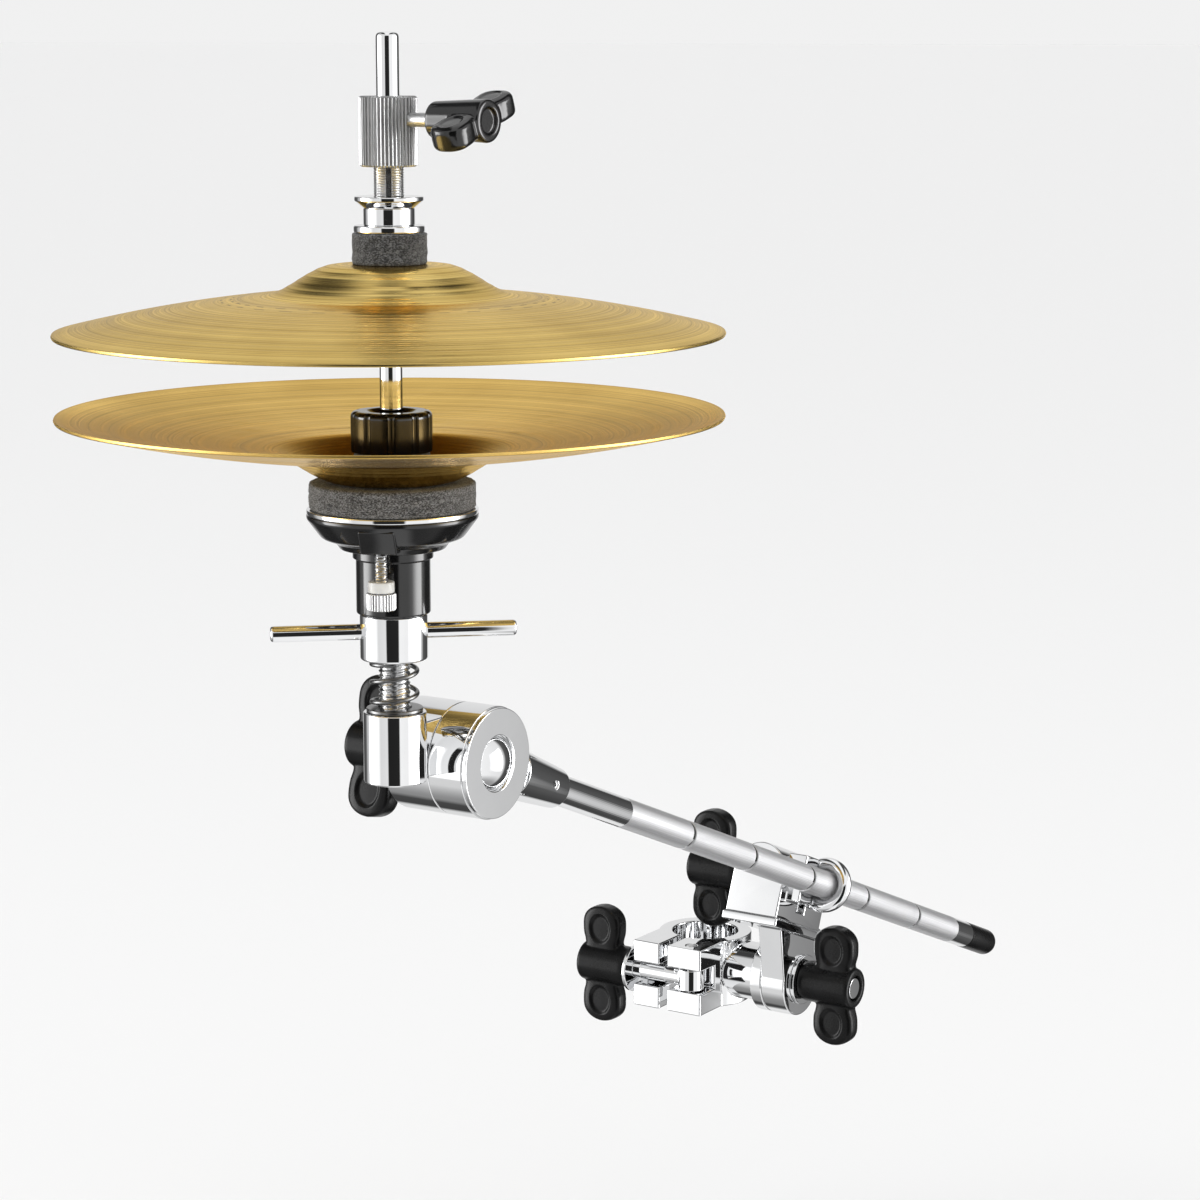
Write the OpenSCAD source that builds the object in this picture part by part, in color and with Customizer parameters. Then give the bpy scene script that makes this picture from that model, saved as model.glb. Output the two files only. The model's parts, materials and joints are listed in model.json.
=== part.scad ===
// Small hi hat on a boom arm.
// Two thin cymbals face each other on a fixed vertical rod: the top one hangs from a
// clutch, the bottom one lies on a felt seat that a T handle raises and lowers.
// The rod stands on a tilter, the tilter on a boom arm, and a hinged clamp holds the
// arm to a stand tube.
// Origin: centre of the clamp's tube seat. +Z is up the tube, the arm runs towards -X.

/* [Stand clamp] */
// Diameter of the stand tube that the jaws close on
tube_d = 25.4; // [22:0.1:25.4]
// Height of the two jaws
jaw_h = 26; // [24:0.5:26]
// Thickness of the jaw wall around the tube
jaw_wall = 5.3; // [5:0.1:6]
// Distance of the swing bolt from the tube axis
swing_bolt_x = 22; // [22:0.5:24]
// Gap that the swing bolt runs through in both ears
bolt_slot = 9; // [8.6:0.1:10]

/* [Arm holder] */
// Height of the eye bolt above the ratchet axis
eye_h = 38.5; // [38.5:0.5:42]
// Distance of the arm axis in front of the tube axis
arm_y = 53; // [53:0.5:54]
// Radius of the ratchet discs
ratchet_r = 14; // [13:0.5:14]

/* [Boom arm] */
// Diameter of the boom arm
arm_d = 10.4; // [9.6:0.1:10.4]
// Slope of the boom arm below the horizontal
arm_slope = 22; // [18:1:26]
// Length of the arm from the tilter axis to the end of its tip
arm_len = 396; // [380:1:420]
// Distance from the tilter axis to the eye bolt
arm_reach = 246; // [240:1:252]
// Distance between the memory grooves
groove_step = 46.5; // [40:0.5:48]

/* [Tilter] */
// Radius of the tilter drum
drum_r = 18; // [17:0.1:18]
// Distance of the tilter axis from the rod axis
drum_x = 26; // [26:0.5:28]
// Diameter of the upright boss that carries the rod
boss_d = 19.6; // [18:0.1:19.6]
// Height of the boss
boss_h = 22.2; // [21:0.1:23]

/* [Rod and seat] */
// Diameter of the centre rod
rod_d = 7; // [6.5:0.1:7]
// Height of the rod's top above the boss's foot
rod_top = 228.8; // [225:0.1:245]
// Outside diameter of the threaded post
post_d = 10; // [9.5:0.1:10]
// Length of each T handle bar from the rod axis
handle_reach = 38; // [30:1:45]
// Diameter of the large seat felt
felt_d = 51.4; // [46:0.1:52]

/* [Cymbals] */
// Diameter of both cymbals
cymbal_d = 203.2; // [180:0.1:205]
// Thickness of the cymbal metal
cymbal_t = 1; // [0.8:0.1:1.2]
// Height of a cymbal from its edge to its crown
cymbal_h = 21; // [17:0.5:21]

/* [Clutch] */
// Diameter of the knurled clutch body
clutch_d = 17.7; // [16:0.1:18]
// Outside diameter of the threaded clutch tube
clutch_tube_d = 9.3; // [9:0.1:9.4]
// Diameter of the clutch felts
clutch_felt_d = 23; // [20:0.1:24]

/* [Hidden] */
$fn = 64;

// clearances, on the radius
fixed_gap = 0.02;
run_gap = 0.05;
// overlap that a cutting tool needs beyond the face it cuts
cut = 1;

// where the rod's foot and the tilter axis stand, worked back along the arm from the eye
arm_cos = cos(arm_slope);
arm_sin = sin(arm_slope);
drum_z = eye_h + arm_reach * arm_sin;
drum_wx = -arm_reach * arm_cos;
rod_x = drum_wx - drum_x;
rod_y = 12.5 - arm_y;
drum_up = 3;
rod_z = drum_z - drum_up;
seam_y = -6.5;

// clamp
tube_r = tube_d / 2;
jaw_r = tube_r + jaw_wall;
hinge_pin_r = 2.5;
hinge_x = tube_r + 5.8;
split_y = 2.6;
split_gap = 3.7;
knuckle_r = 5.4;
knuckle_h = 8.6;
ear_x = swing_bolt_x + 5;
fixed_ear_back = -14;
swing_ear_back = 16;
swing_pin = [-swing_bolt_x, -7];
swing_pin_r = 2;
swing_bolt_r = 3.5;
washer_gap = 1.5;
ratchet_y = -33;
ratchet_neck_r = 11;
ratchet_flange_t = 5;
holder_disc_t = 10;
ratchet_bolt_r = 4;

// wing nuts
wing_span = 46;
wing_w = 17;
wing_t = 8;
wing_hub_r = 7.75;
wing_hub_h = 22;
washer_t = 1.5;

// arm
arm_r = arm_d / 2;
socket_end = 46;
arm_start = 22;
cap_start = arm_len - 24;
first_groove = 133;
groove_count = 5;

// heights on the rod axis, from the foot of the boss
collar_z = 38.6;
collar_top = 53;
plate_z = 84;
plate_t = 1.6;
plate_r = 26.35;
felt_z = plate_z + plate_t;
felt_h = 8.2;
bottom_crown_z = felt_z + felt_h;
small_felt_h = 8;
seat_nut_z = bottom_crown_z + cymbal_t + small_felt_h + 0.2;
seat_nut_h = 12.5;
top_crown_z = 159.8;
clutch_nut_z = 140.2;
clutch_nut_h = 8.8;
upper_felt_h = 9.4;
clutch_body_z = 189;
clutch_body_h = 21;
wing_screw_z = 203;
rod_r = rod_d / 2;
post_r = post_d / 2;
sleeve_r = 5.8;
cymbal_hole_r = 6.3;
// the tilt screw stands clear of the cup's body and runs up through a rib under the rim
tilt_dir = 205;
tilt_x = 18;
tilt_r = 2;
tilt_knob_r = 4.5;
tilt_knob_z = 57;
tilt_knob_h = 5.3;

chrome = "silver";
satin = "gainsboro";
plastic = [0.08, 0.08, 0.09];
felt = [0.28, 0.28, 0.29];
brass = [0.80, 0.67, 0.35];
nylon = "whitesmoke";

// ---- shared shapes ----

// a straight cylinder along +Y from y0 to y1
module rod_y(r, y0, y1) {
    translate([0, y0, 0]) rotate([-90, 0, 0]) cylinder(r = r, h = y1 - y0);
}

// a ring between two radii
module ring(r_out, r_in, h) {
    difference() {
        cylinder(r = r_out, h = h);
        translate([0, 0, -cut]) cylinder(r = r_in, h = h + 2 * cut);
    }
}

module at_rod(z = 0) {
    translate([rod_x, rod_y, rod_z + z]) children();
}

// tilter axis: children are drawn about the drum axis, with y measured from the rod
module at_drum() {
    translate([drum_wx, rod_y, drum_z]) children();
}

// arm frame: +X runs down the arm, away from the tilter
module along_arm(from = 0) {
    translate([drum_wx, -arm_y, drum_z]) rotate([0, arm_slope, 0])
        translate([from, 0, 0]) children();
}

// a straight cylinder along +X
module bar_x(r, x0, x1) {
    translate([x0, 0, 0]) rotate([0, 90, 0]) cylinder(r = r, h = x1 - x0);
}

// two-lobed wing on a hub; the bore runs along +Y from 0 to hub_h
module wing(bore_r, span = wing_span, w = wing_w, t = wing_t, hub_r = wing_hub_r,
            hub_h = wing_hub_h, mid = wing_hub_h - wing_w / 2 - 0.2, bore_h = wing_hub_h) {
    difference() {
        union() {
            rod_y(hub_r, 0, hub_h);
            translate([-t / 2, mid, 0]) rotate([90, 0, 90]) linear_extrude(t) {
                square([w - 3, span - w], center = true);
                for (s = [-1, 1])
                    translate([0, s * (span - w) / 2]) circle(r = w / 2);
            }
        }
        rod_y(bore_r, -cut, bore_h + cut);
    }
}

module flat_washer(r_out, r_in, t) {
    difference() {
        rod_y(r_out, 0, t);
        rod_y(r_in, -cut, t + cut);
    }
}

// ---- stand clamp ----

module jaw_half(side) {
    // side is -1 for the fixed jaw and +1 for the swing jaw
    face = split_y + side * split_gap / 2;
    back = side < 0 ? fixed_ear_back : swing_ear_back;
    intersection() {
        linear_extrude(jaw_h, center = true) {
            circle(r = jaw_r);
            translate([-ear_x, min(face, back)])
                square([ear_x - 6, abs(back - face)]);
        }
        translate([-50, side < 0 ? face - 60 : face, -jaw_h])
            cube([100, 60, 2 * jaw_h]);
    }
}

module hinge_knuckle(r, z0, z1) {
    translate([hinge_x, split_y, z0]) cylinder(r = r, h = z1 - z0);
}

module bolt_slot_cut(depth) {
    translate([-ear_x - cut, -30, -bolt_slot / 2]) cube([depth + cut, 60, bolt_slot]);
}

module fixed_jaw() {
    color(chrome) difference() {
        union() {
            difference() {
                jaw_half(-1);
                hinge_knuckle(knuckle_r + 0.4, -knuckle_h / 2 - 0.2, knuckle_h / 2 + 0.2);
            }
            for (s = [-1, 1]) mirror([0, 0, s < 0 ? 1 : 0])
                hinge_knuckle(knuckle_r, knuckle_h / 2 + 0.2, jaw_h / 2);
            rod_y(ratchet_neck_r, ratchet_y, -8);
            rod_y(ratchet_r, ratchet_y, ratchet_y + ratchet_flange_t);
        }
        translate([0, 0, -jaw_h]) cylinder(r = tube_r, h = 2 * jaw_h);
        hinge_knuckle(hinge_pin_r + run_gap, -jaw_h, jaw_h);
        bolt_slot_cut(ear_x - 16);
        translate([swing_pin.x, swing_pin.y, -jaw_h])
            cylinder(r = swing_pin_r + run_gap, h = 2 * jaw_h);
        rod_y(ratchet_bolt_r + fixed_gap, ratchet_y - cut, 0);
        translate([0, -18.1, 0]) rotate([-90, 0, 0]) cylinder(r = 7.2, h = 12, $fn = 6);
    }
}

module jaw_hinge_pin() {
    color(chrome) hinge_knuckle(hinge_pin_r, -jaw_h / 2 - 0.8, jaw_h / 2 + 0.8);
}

module swing_jaw() {
    color(chrome) difference() {
        union() {
            difference() {
                jaw_half(1);
                for (s = [-1, 1]) mirror([0, 0, s < 0 ? 1 : 0])
                    hinge_knuckle(knuckle_r + 0.4, knuckle_h / 2, jaw_h);
            }
            hinge_knuckle(knuckle_r, -knuckle_h / 2, knuckle_h / 2);
        }
        translate([0, 0, -jaw_h]) cylinder(r = tube_r, h = 2 * jaw_h);
        hinge_knuckle(hinge_pin_r + run_gap, -jaw_h, jaw_h);
        bolt_slot_cut(ear_x - 17.2);
    }
}

module swing_bolt() {
    color(chrome) translate([swing_pin.x, swing_pin.y, 0]) difference() {
        union() {
            translate([0, 0, -4]) cylinder(r = 5, h = 8);
            rod_y(swing_bolt_r, 0, 44);
        }
        translate([0, 0, -5]) cylinder(r = swing_pin_r + run_gap, h = 10);
    }
}

module swing_bolt_pin() {
    color(chrome) translate([swing_pin.x, swing_pin.y, -jaw_h / 2])
        cylinder(r = swing_pin_r, h = jaw_h);
}

jaw_washer_y = swing_ear_back + washer_gap;

module jaw_washer() {
    color(chrome) translate([swing_pin.x, jaw_washer_y, 0])
        flat_washer(9, swing_bolt_r + run_gap, washer_t);
}

module jaw_wing_nut() {
    color(plastic) translate([swing_pin.x, jaw_washer_y + washer_t, 0])
        wing(swing_bolt_r + run_gap);
}

// ---- ratchet between the clamp and the arm holder ----

holder_front_y = ratchet_y - 0.1 - holder_disc_t;

module ratchet_bolt() {
    color(chrome) {
        translate([0, -18, 0]) rotate([-90, 0, 0]) cylinder(r = 7.1, h = 4, $fn = 6);
        rod_y(ratchet_bolt_r, -66, -18);
    }
}

module ratchet_washer() {
    color(chrome) translate([0, holder_front_y - 0.1 - washer_t, 0])
        flat_washer(9.5, ratchet_bolt_r + run_gap, washer_t);
}

module ratchet_wing_nut() {
    color(plastic) translate([0, holder_front_y - 0.1 - washer_t, 0]) mirror([0, 1, 0])
        wing(ratchet_bolt_r + run_gap);
}

// ---- arm holder and eye bolt ----

barrel_r = 11;
barrel_y = -33.5;
holder_back_y = barrel_y + barrel_r;
saddle_front_y = -arm_y + 3;
eye_ring_r = 8;
eye_wire_r = 2.55;
eye_shank_r = 3.5;

// the arm-aligned frame about the eye's centre, with y measured from the tube axis
module at_eye() {
    translate([0, 0, eye_h]) rotate([0, arm_slope, 0]) children();
}

module arm_holder() {
    color(chrome) difference() {
        union() {
            at_eye() {
                translate([0, barrel_y, 0]) bar_x(barrel_r, -18, 18);
                translate([-18, barrel_y - barrel_r, -17])
                    cube([36, 2 * barrel_r, 17]);
                translate([-20, barrel_y - barrel_r - 1.5, -20])
                    cube([40, 2 * barrel_r + 1.5, 3.2]);
                translate([-13, saddle_front_y, -9]) cube([26, 8, 18]);
            }
            rod_y(ratchet_r, holder_front_y, ratchet_y - 0.1);
            translate([0, ratchet_y - 0.1, 0]) rotate([90, 0, 0])
                linear_extrude(holder_disc_t)
                    polygon([[-13.5, 2], [13.5, 2], [15, 16], [0, 26], [-17, 28]]);
        }
        along_arm() bar_x(arm_r + run_gap, arm_reach - 60, arm_reach + 60);
        at_eye() {
            translate([-3.2, -arm_y - 14, -12]) cube([6.4, 25.5, 24]);
            rod_y(eye_shank_r + run_gap, -arm_y, 0);
        }
        rod_y(ratchet_bolt_r + run_gap, holder_front_y - cut, 0);
    }
}

module eye_bolt() {
    color(chrome) at_eye() {
        difference() {
            union() {
                translate([0, -arm_y, 0]) rotate([0, 90, 0])
                    rotate_extrude() translate([eye_ring_r, 0]) circle(r = eye_wire_r);
                rod_y(eye_shank_r, -arm_y + eye_ring_r, 6);
            }
            translate([0, -arm_y, 0]) bar_x(arm_r + run_gap, -10, 10);
        }
    }
}

eye_washer_y = holder_back_y + 0.1;
eye_washer_t = 5;

module eye_washer() {
    color(chrome) translate([0, eye_washer_y, eye_h]) difference() {
        rotate([-90, 0, 0])
            cylinder(r1 = 10.5, r2 = 8.6, h = eye_washer_t);
        rod_y(eye_shank_r + run_gap, -cut, eye_washer_t + cut);
    }
}

module eye_wing_nut() {
    color(plastic) translate([0, eye_washer_y + eye_washer_t, eye_h])
        wing(eye_shank_r + run_gap);
}

// ---- boom arm ----

module boom_arm() {
    groove_w = 2;
    color(satin) along_arm() difference() {
        union() {
            bar_x(arm_r, arm_start, cap_start);
            bar_x(arm_r - 1.2, cap_start - cut, arm_len - 8);
        }
        for (i = [0 : groove_count - 1]) {
            x = first_groove + i * groove_step;
            difference() {
                bar_x(arm_r + cut, x, x + groove_w);
                bar_x(arm_r - 0.5, x - cut, x + groove_w + cut);
            }
        }
        translate([37, 0, 0]) rod_y(1.25 + fixed_gap, -10, 10);
    }
}

module arm_end_cap() {
    color(plastic) along_arm() difference() {
        union() {
            bar_x(arm_r + 0.1, cap_start + 0.05, arm_len - 1.5);
            bar_x(arm_r - 1, arm_len - 2, arm_len);
        }
        bar_x(arm_r - 1.2 + run_gap, cap_start - cut, arm_len - 7.9);
    }
}

module arm_roll_pin() {
    color(satin) along_arm(37) rod_y(1.25, -6.8, 6.8);
}

// ---- tilter ----

tilter_bolt_r = 4;
drum_back_y = 11;
drum_front_y = -19;

// tapered socket for the arm; its root keeps within the drum's thickness
module arm_socket() {
    root_r = 8.6;
    root_half = 5.8;
    along_arm() {
        translate([drum_r + 0.7, 0, 0]) rotate([0, 90, 0])
            cylinder(r1 = root_r, r2 = 6.8, h = socket_end - drum_r - 0.7);
        intersection() {
            bar_x(root_r, 8, drum_r + 1.5);
            translate([0, -root_half, -root_r]) cube([30, 2 * root_half, 2 * root_r]);
        }
    }
}

module tilter_arm_half() {
    color(chrome) difference() {
        union() {
            at_drum() rod_y(drum_r, drum_front_y, seam_y);
            arm_socket();
        }
        along_arm() bar_x(arm_r + fixed_gap, arm_start - 0.1, socket_end + cut);
        along_arm(37) rod_y(1.25 + fixed_gap, -12, 12);
        at_drum() rod_y(tilter_bolt_r + fixed_gap, -40, 20);
    }
}

module tilter_cap() {
    color(chrome) at_drum() translate([0, drum_front_y - 1.6, 0])
        flat_washer(drum_r - 0.4, 9, 1.6);
}

module tilter_post_half() {
    color(chrome) difference() {
        union() {
            at_drum() rod_y(drum_r, seam_y + 0.1, drum_back_y);
            at_rod() cylinder(d = boss_d, h = boss_h);
            at_rod() translate([0, seam_y + 0.1, 0])
                cube([drum_x - 4, 9 - seam_y - 0.1, drum_r + drum_up - 3]);
        }
        at_rod(4) cylinder(r = post_r + fixed_gap, h = 30);
        at_drum() rod_y(tilter_bolt_r + run_gap, -40, 20);
    }
}

module tilter_bolt() {
    // a domed head, made as an arc about the bolt axis
    head_r = 8.6;
    head_h = 4;
    dome_r = (head_r * head_r + head_h * head_h) / (2 * head_h);
    color(chrome) at_drum() {
        difference() {
            translate([0, drum_front_y - head_h + dome_r, 0]) sphere(r = dome_r);
            translate([-50, drum_front_y, -50]) cube([100, 50, 100]);
        }
        rod_y(tilter_bolt_r, drum_front_y, drum_back_y + 24);
    }
}

module tilter_washer() {
    color(chrome) at_drum() translate([0, drum_back_y + 0.1, 0])
        flat_washer(9.5, tilter_bolt_r + run_gap, washer_t);
}

module tilter_wing_nut() {
    color(plastic) at_drum() translate([0, drum_back_y + 0.1 + washer_t, 0])
        rotate([0, 12, 0]) wing(tilter_bolt_r + run_gap);
}

// ---- rod, post and T handle ----

module threaded_post() {
    color(satin) at_rod(4) ring(post_r, rod_r + fixed_gap, 62);
}

module pull_rod() {
    color(chrome) at_rod() {
        translate([0, 0, 6]) cylinder(r = rod_r, h = rod_top - 6 - 1.5);
        translate([0, 0, rod_top - 1.5]) cylinder(r1 = rod_r, r2 = rod_r - 1.2, h = 1.5);
    }
}

spring_seat_z = boss_h + 1.2;

module spring_washer() {
    color(satin) at_rod(boss_h) ring(8.8, post_r + 0.2, 1.2);
}

module seat_spring() {
    turns = 3;
    steps = 18;
    sides = 8;
    wire_r = 0.75;
    coil_r = 7;
    low = spring_seat_z + wire_r + 0.02;
    rise = collar_z - wire_r - 0.02 - low;
    count = turns * steps;
    points = [for (i = [0 : count], k = [0 : sides - 1])
        let (a = 360 * i / steps, b = 360 * k / sides, r = coil_r + wire_r * cos(b))
        [r * cos(a), r * sin(a), low + rise * i / count + wire_r * sin(b)]];
    walls = [for (i = [0 : count - 1], k = [0 : sides - 1])
        let (n = (k + 1) % sides)
        [i * sides + k, (i + 1) * sides + k, (i + 1) * sides + n, i * sides + n]];
    first_end = [[for (k = [0 : sides - 1]) k]];
    last_end = [[for (k = [sides - 1 : -1 : 0]) count * sides + k]];
    color([0.3, 0.3, 0.32]) at_rod()
        polyhedron(points = points, faces = concat(walls, first_end, last_end));
}

handle_z = 47.3;
handle_turn = -48;
bar_r = 2.5;
bar_start = 6.6;

module handle_collar() {
    color(chrome) at_rod() difference() {
        translate([0, 0, collar_z]) ring(10.5, post_r + run_gap, collar_top - collar_z);
        translate([0, 0, handle_z]) rotate([0, 0, handle_turn]) {
            bar_x(bar_r + fixed_gap, bar_start - 0.05, 20);
            bar_x(bar_r + fixed_gap, -20, -bar_start + 0.05);
        }
    }
}

module handle_bars() {
    color(chrome) at_rod(handle_z) rotate([0, 0, handle_turn]) for (a = [0, 180])
        rotate([0, 0, a]) {
            bar_x(bar_r, bar_start, handle_reach - 1);
            translate([handle_reach - 1, 0, 0]) rotate([0, 90, 0])
                cylinder(r1 = bar_r, r2 = bar_r - 0.8, h = 1);
        }
}

// ---- bottom cymbal seat ----

module at_tilt_screw() {
    rotate([0, 0, tilt_dir]) translate([tilt_x, 0, 0]) children();
}

module seat_cup() {
    body_r = 11.45;
    shoulder_r = 12.4;
    foot = collar_top + 0.05;
    rib_w = 11.4;
    bore_r = post_r + 0.3;
    color(plastic) at_rod() difference() {
        union() {
            rotate_extrude() polygon([
                [bore_r, foot], [body_r, foot], [body_r, 70], [shoulder_r, 70],
                [shoulder_r, 73.2], [16.2, 73.2], [17.6, 75.3], [21.8, 76.8], [22.8, 78],
                [plate_r, 82.8], [plate_r, plate_z], [24.6, plate_z], [24.6, 83],
                [21, 80.4], [14, 78.6], [bore_r, 78.6]
            ]);
            rotate([0, 0, tilt_dir]) rotate([90, 0, 0]) linear_extrude(rib_w, center = true)
                polygon([[10, 74.2], [21.2, 74.2], [25.6, 81.8], [24, 81.6], [22, 80.5],
                    [14, 78.4], [10, 78.4]]);
        }
        at_tilt_screw() translate([0, 0, 70]) cylinder(r = tilt_r + run_gap, h = 20);
    }
}

module tilt_screw() {
    tip_z = 82.5;
    color(satin) at_rod() at_tilt_screw() {
        translate([0, 0, tilt_knob_z]) cylinder(r = tilt_knob_r, h = tilt_knob_h);
        translate([0, 0, tilt_knob_z + tilt_knob_h])
            cylinder(r = tilt_r, h = tip_z - tilt_knob_z - tilt_knob_h);
        translate([0, 0, tip_z]) cylinder(r1 = tilt_r, r2 = 0.5, h = 1.3);
    }
}

module tilt_collar() {
    color(nylon) at_rod(tilt_knob_z + tilt_knob_h + 0.1) at_tilt_screw()
        ring(4, tilt_r + run_gap, 3.4);
}

module seat_plate() {
    color(chrome) at_rod(plate_z) ring(plate_r, sleeve_r + fixed_gap, plate_t);
}

module seat_sleeve() {
    bore_r = 4.8;
    color(nylon) at_rod() {
        translate([0, 0, plate_z - 1.6]) ring(7.4, bore_r, 1.6);
        translate([0, 0, plate_z - 1.6]) ring(sleeve_r, bore_r, seat_nut_z + 10 - plate_z + 1.6);
    }
}

module seat_felt_large() {
    color(felt) at_rod(felt_z) ring(felt_d / 2, sleeve_r + 0.2, felt_h);
}

module seat_felt_small() {
    color(felt) at_rod(bottom_crown_z + cymbal_t + 0.1)
        ring(11.75, sleeve_r + 0.2, small_felt_h);
}

module seat_nut() {
    flutes = 10;
    color(plastic) at_rod(seat_nut_z) difference() {
        union() {
            cylinder(r = 12.5, h = seat_nut_h - 1.6);
            translate([0, 0, seat_nut_h - 1.6]) cylinder(r1 = 12.5, r2 = 11.2, h = 1.6);
        }
        translate([0, 0, -cut]) cylinder(r = sleeve_r + run_gap, h = 11.2 + cut);
        cylinder(r = 4.9, h = 20);
        for (i = [0 : flutes - 1]) rotate([0, 0, 360 * i / flutes])
            translate([13.1, 0, -cut]) cylinder(r = 1.4, h = 20);
    }
}

// ---- cymbals ----

crown_r = 16;
bell_r = 40;
bell_drop = 9.5;
bell_steps = 8;
bow_steps = 8;

// drop of the cymbal's face below its crown at radius r
function drop(r) =
    r <= crown_r ? 0 :
    r <= bell_r ? bell_drop * (1 - cos(180 * (r - crown_r) / (bell_r - crown_r))) / 2 :
    let (s = (r - bell_r) / (cymbal_d / 2 - bell_r))
    bell_drop + (cymbal_h - cymbal_t - bell_drop) * (0.55 * s + 0.45 * s * s);

// cross-section radii: the hole, the crown, then the bell and the bow
cymbal_radii = concat(
    [cymbal_hole_r],
    [for (i = [0 : bell_steps]) crown_r + (bell_r - crown_r) * i / bell_steps],
    [for (i = [1 : bow_steps]) bell_r + (cymbal_d / 2 - bell_r) * i / bow_steps]
);

module cymbal() {
    last = len(cymbal_radii) - 1;
    upper = [for (r = cymbal_radii) [r, -drop(r)]];
    lower = [for (i = [last : -1 : 0]) [cymbal_radii[i], -drop(cymbal_radii[i]) - cymbal_t]];
    rotate_extrude() polygon(concat(upper, lower));
}

module bottom_cymbal() {
    color(brass) at_rod(bottom_crown_z + 0.05) mirror([0, 0, 1]) cymbal();
}

module top_cymbal() {
    color(brass) at_rod(top_crown_z) cymbal();
}

// ---- clutch ----

clutch_tube_r = clutch_tube_d / 2;
clutch_felt_r = clutch_felt_d / 2;
clutch_sleeve_r = 5.7;
lower_felt_z = clutch_nut_z + clutch_nut_h;
lower_felt_h = top_crown_z - cymbal_t - 0.05 - lower_felt_z;
upper_felt_z = top_crown_z + 0.05;
clutch_washer_z = upper_felt_z + upper_felt_h;
clutch_washer_t = 2.3;
lock_nut_z = clutch_washer_z + clutch_washer_t;
lock_nut_h = 5.1;
flange_nut_z = lock_nut_z + lock_nut_h;

module clutch_body() {
    color(satin) at_rod() difference() {
        translate([0, 0, clutch_body_z])
            ring(clutch_d / 2, rod_r + run_gap, clutch_body_h);
        translate([0, 0, clutch_body_z - cut])
            cylinder(r = clutch_tube_r + fixed_gap, h = 7 + cut);
        translate([0, 0, wing_screw_z]) rod_y(2.15 + run_gap, -20, -1);
    }
}

module clutch_tube() {
    color(satin) at_rod(clutch_nut_z)
        ring(clutch_tube_r, rod_r + run_gap, clutch_body_z + 7 - clutch_nut_z);
}

module clutch_flange_nut() {
    color(chrome) at_rod(flange_nut_z) difference() {
        union() {
            cylinder(r1 = 7.8, r2 = 10.5, h = 2.4);
            translate([0, 0, 2.4]) cylinder(r = 10.5, h = 1.1);
        }
        translate([0, 0, -cut]) cylinder(r = clutch_tube_r + fixed_gap, h = 10);
    }
}

module clutch_lock_nut() {
    color(chrome) at_rod(lock_nut_z) difference() {
        ring(7.8, clutch_tube_r + fixed_gap, lock_nut_h);
        rotate([0, 0, -144]) translate([5.6, -0.9, 1.6]) cube([4, 1.8, 1.8]);
    }
}

module clutch_washer() {
    color(chrome) at_rod(clutch_washer_z)
        ring(10.8, clutch_tube_r + fixed_gap, clutch_washer_t);
}

module clutch_sleeve() {
    color(nylon) at_rod(lower_felt_z)
        ring(clutch_sleeve_r, clutch_tube_r + fixed_gap, clutch_washer_z - lower_felt_z);
}

module clutch_felt_upper() {
    color(felt) at_rod(upper_felt_z)
        ring(clutch_felt_r, clutch_sleeve_r + 0.1, upper_felt_h);
}

module clutch_felt_lower() {
    color(felt) at_rod(lower_felt_z)
        ring(clutch_felt_r, clutch_sleeve_r + 0.1, lower_felt_h);
}

module clutch_bottom_nut() {
    color(satin) at_rod(clutch_nut_z) difference() {
        union() {
            cylinder(r1 = 9.2, r2 = 10.15, h = 1);
            translate([0, 0, 1]) cylinder(r = 10.15, h = clutch_nut_h - 1);
        }
        translate([0, 0, -cut]) cylinder(r = clutch_tube_r + fixed_gap, h = 12);
    }
}

wing_head_y = 17;
wing_head_h = 20;
wing_screw_in = 13;

module clutch_wing_screw() {
    color(satin) at_rod(wing_screw_z)
        rod_y(2.15, -wing_head_y - wing_screw_in, -rod_r - run_gap);
}

module clutch_wing_head() {
    color(plastic) at_rod(wing_screw_z) translate([0, -wing_head_y, 0])
        mirror([0, 1, 0]) rotate([0, 70, 0])
            wing(2.15 + fixed_gap, span = 34, w = 12, t = 8, hub_r = 6.5,
                 hub_h = wing_head_h, mid = 14.2, bore_h = wing_screw_in - cut);
}

fixed_jaw();
jaw_hinge_pin();
swing_jaw();
swing_bolt();
swing_bolt_pin();
jaw_washer();
jaw_wing_nut();
ratchet_bolt();
ratchet_washer();
ratchet_wing_nut();
arm_holder();
eye_bolt();
eye_washer();
eye_wing_nut();
boom_arm();
arm_end_cap();
arm_roll_pin();
tilter_arm_half();
tilter_cap();
tilter_post_half();
tilter_bolt();
tilter_washer();
tilter_wing_nut();
threaded_post();
pull_rod();
spring_washer();
seat_spring();
handle_collar();
handle_bars();
seat_cup();
tilt_screw();
tilt_collar();
seat_plate();
seat_sleeve();
seat_felt_large();
seat_felt_small();
bottom_cymbal();
seat_nut();
clutch_body();
clutch_tube();
clutch_flange_nut();
clutch_lock_nut();
clutch_washer();
clutch_sleeve();
clutch_felt_upper();
clutch_felt_lower();
clutch_bottom_nut();
clutch_wing_screw();
clutch_wing_head();
top_cymbal();
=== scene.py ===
"""Finished look of the small hi hat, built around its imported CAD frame. Lengths are in metres."""
import json
import math
import random

import bmesh
import bpy
import numpy as np
from mathutils import Matrix, Vector, noise

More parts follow.
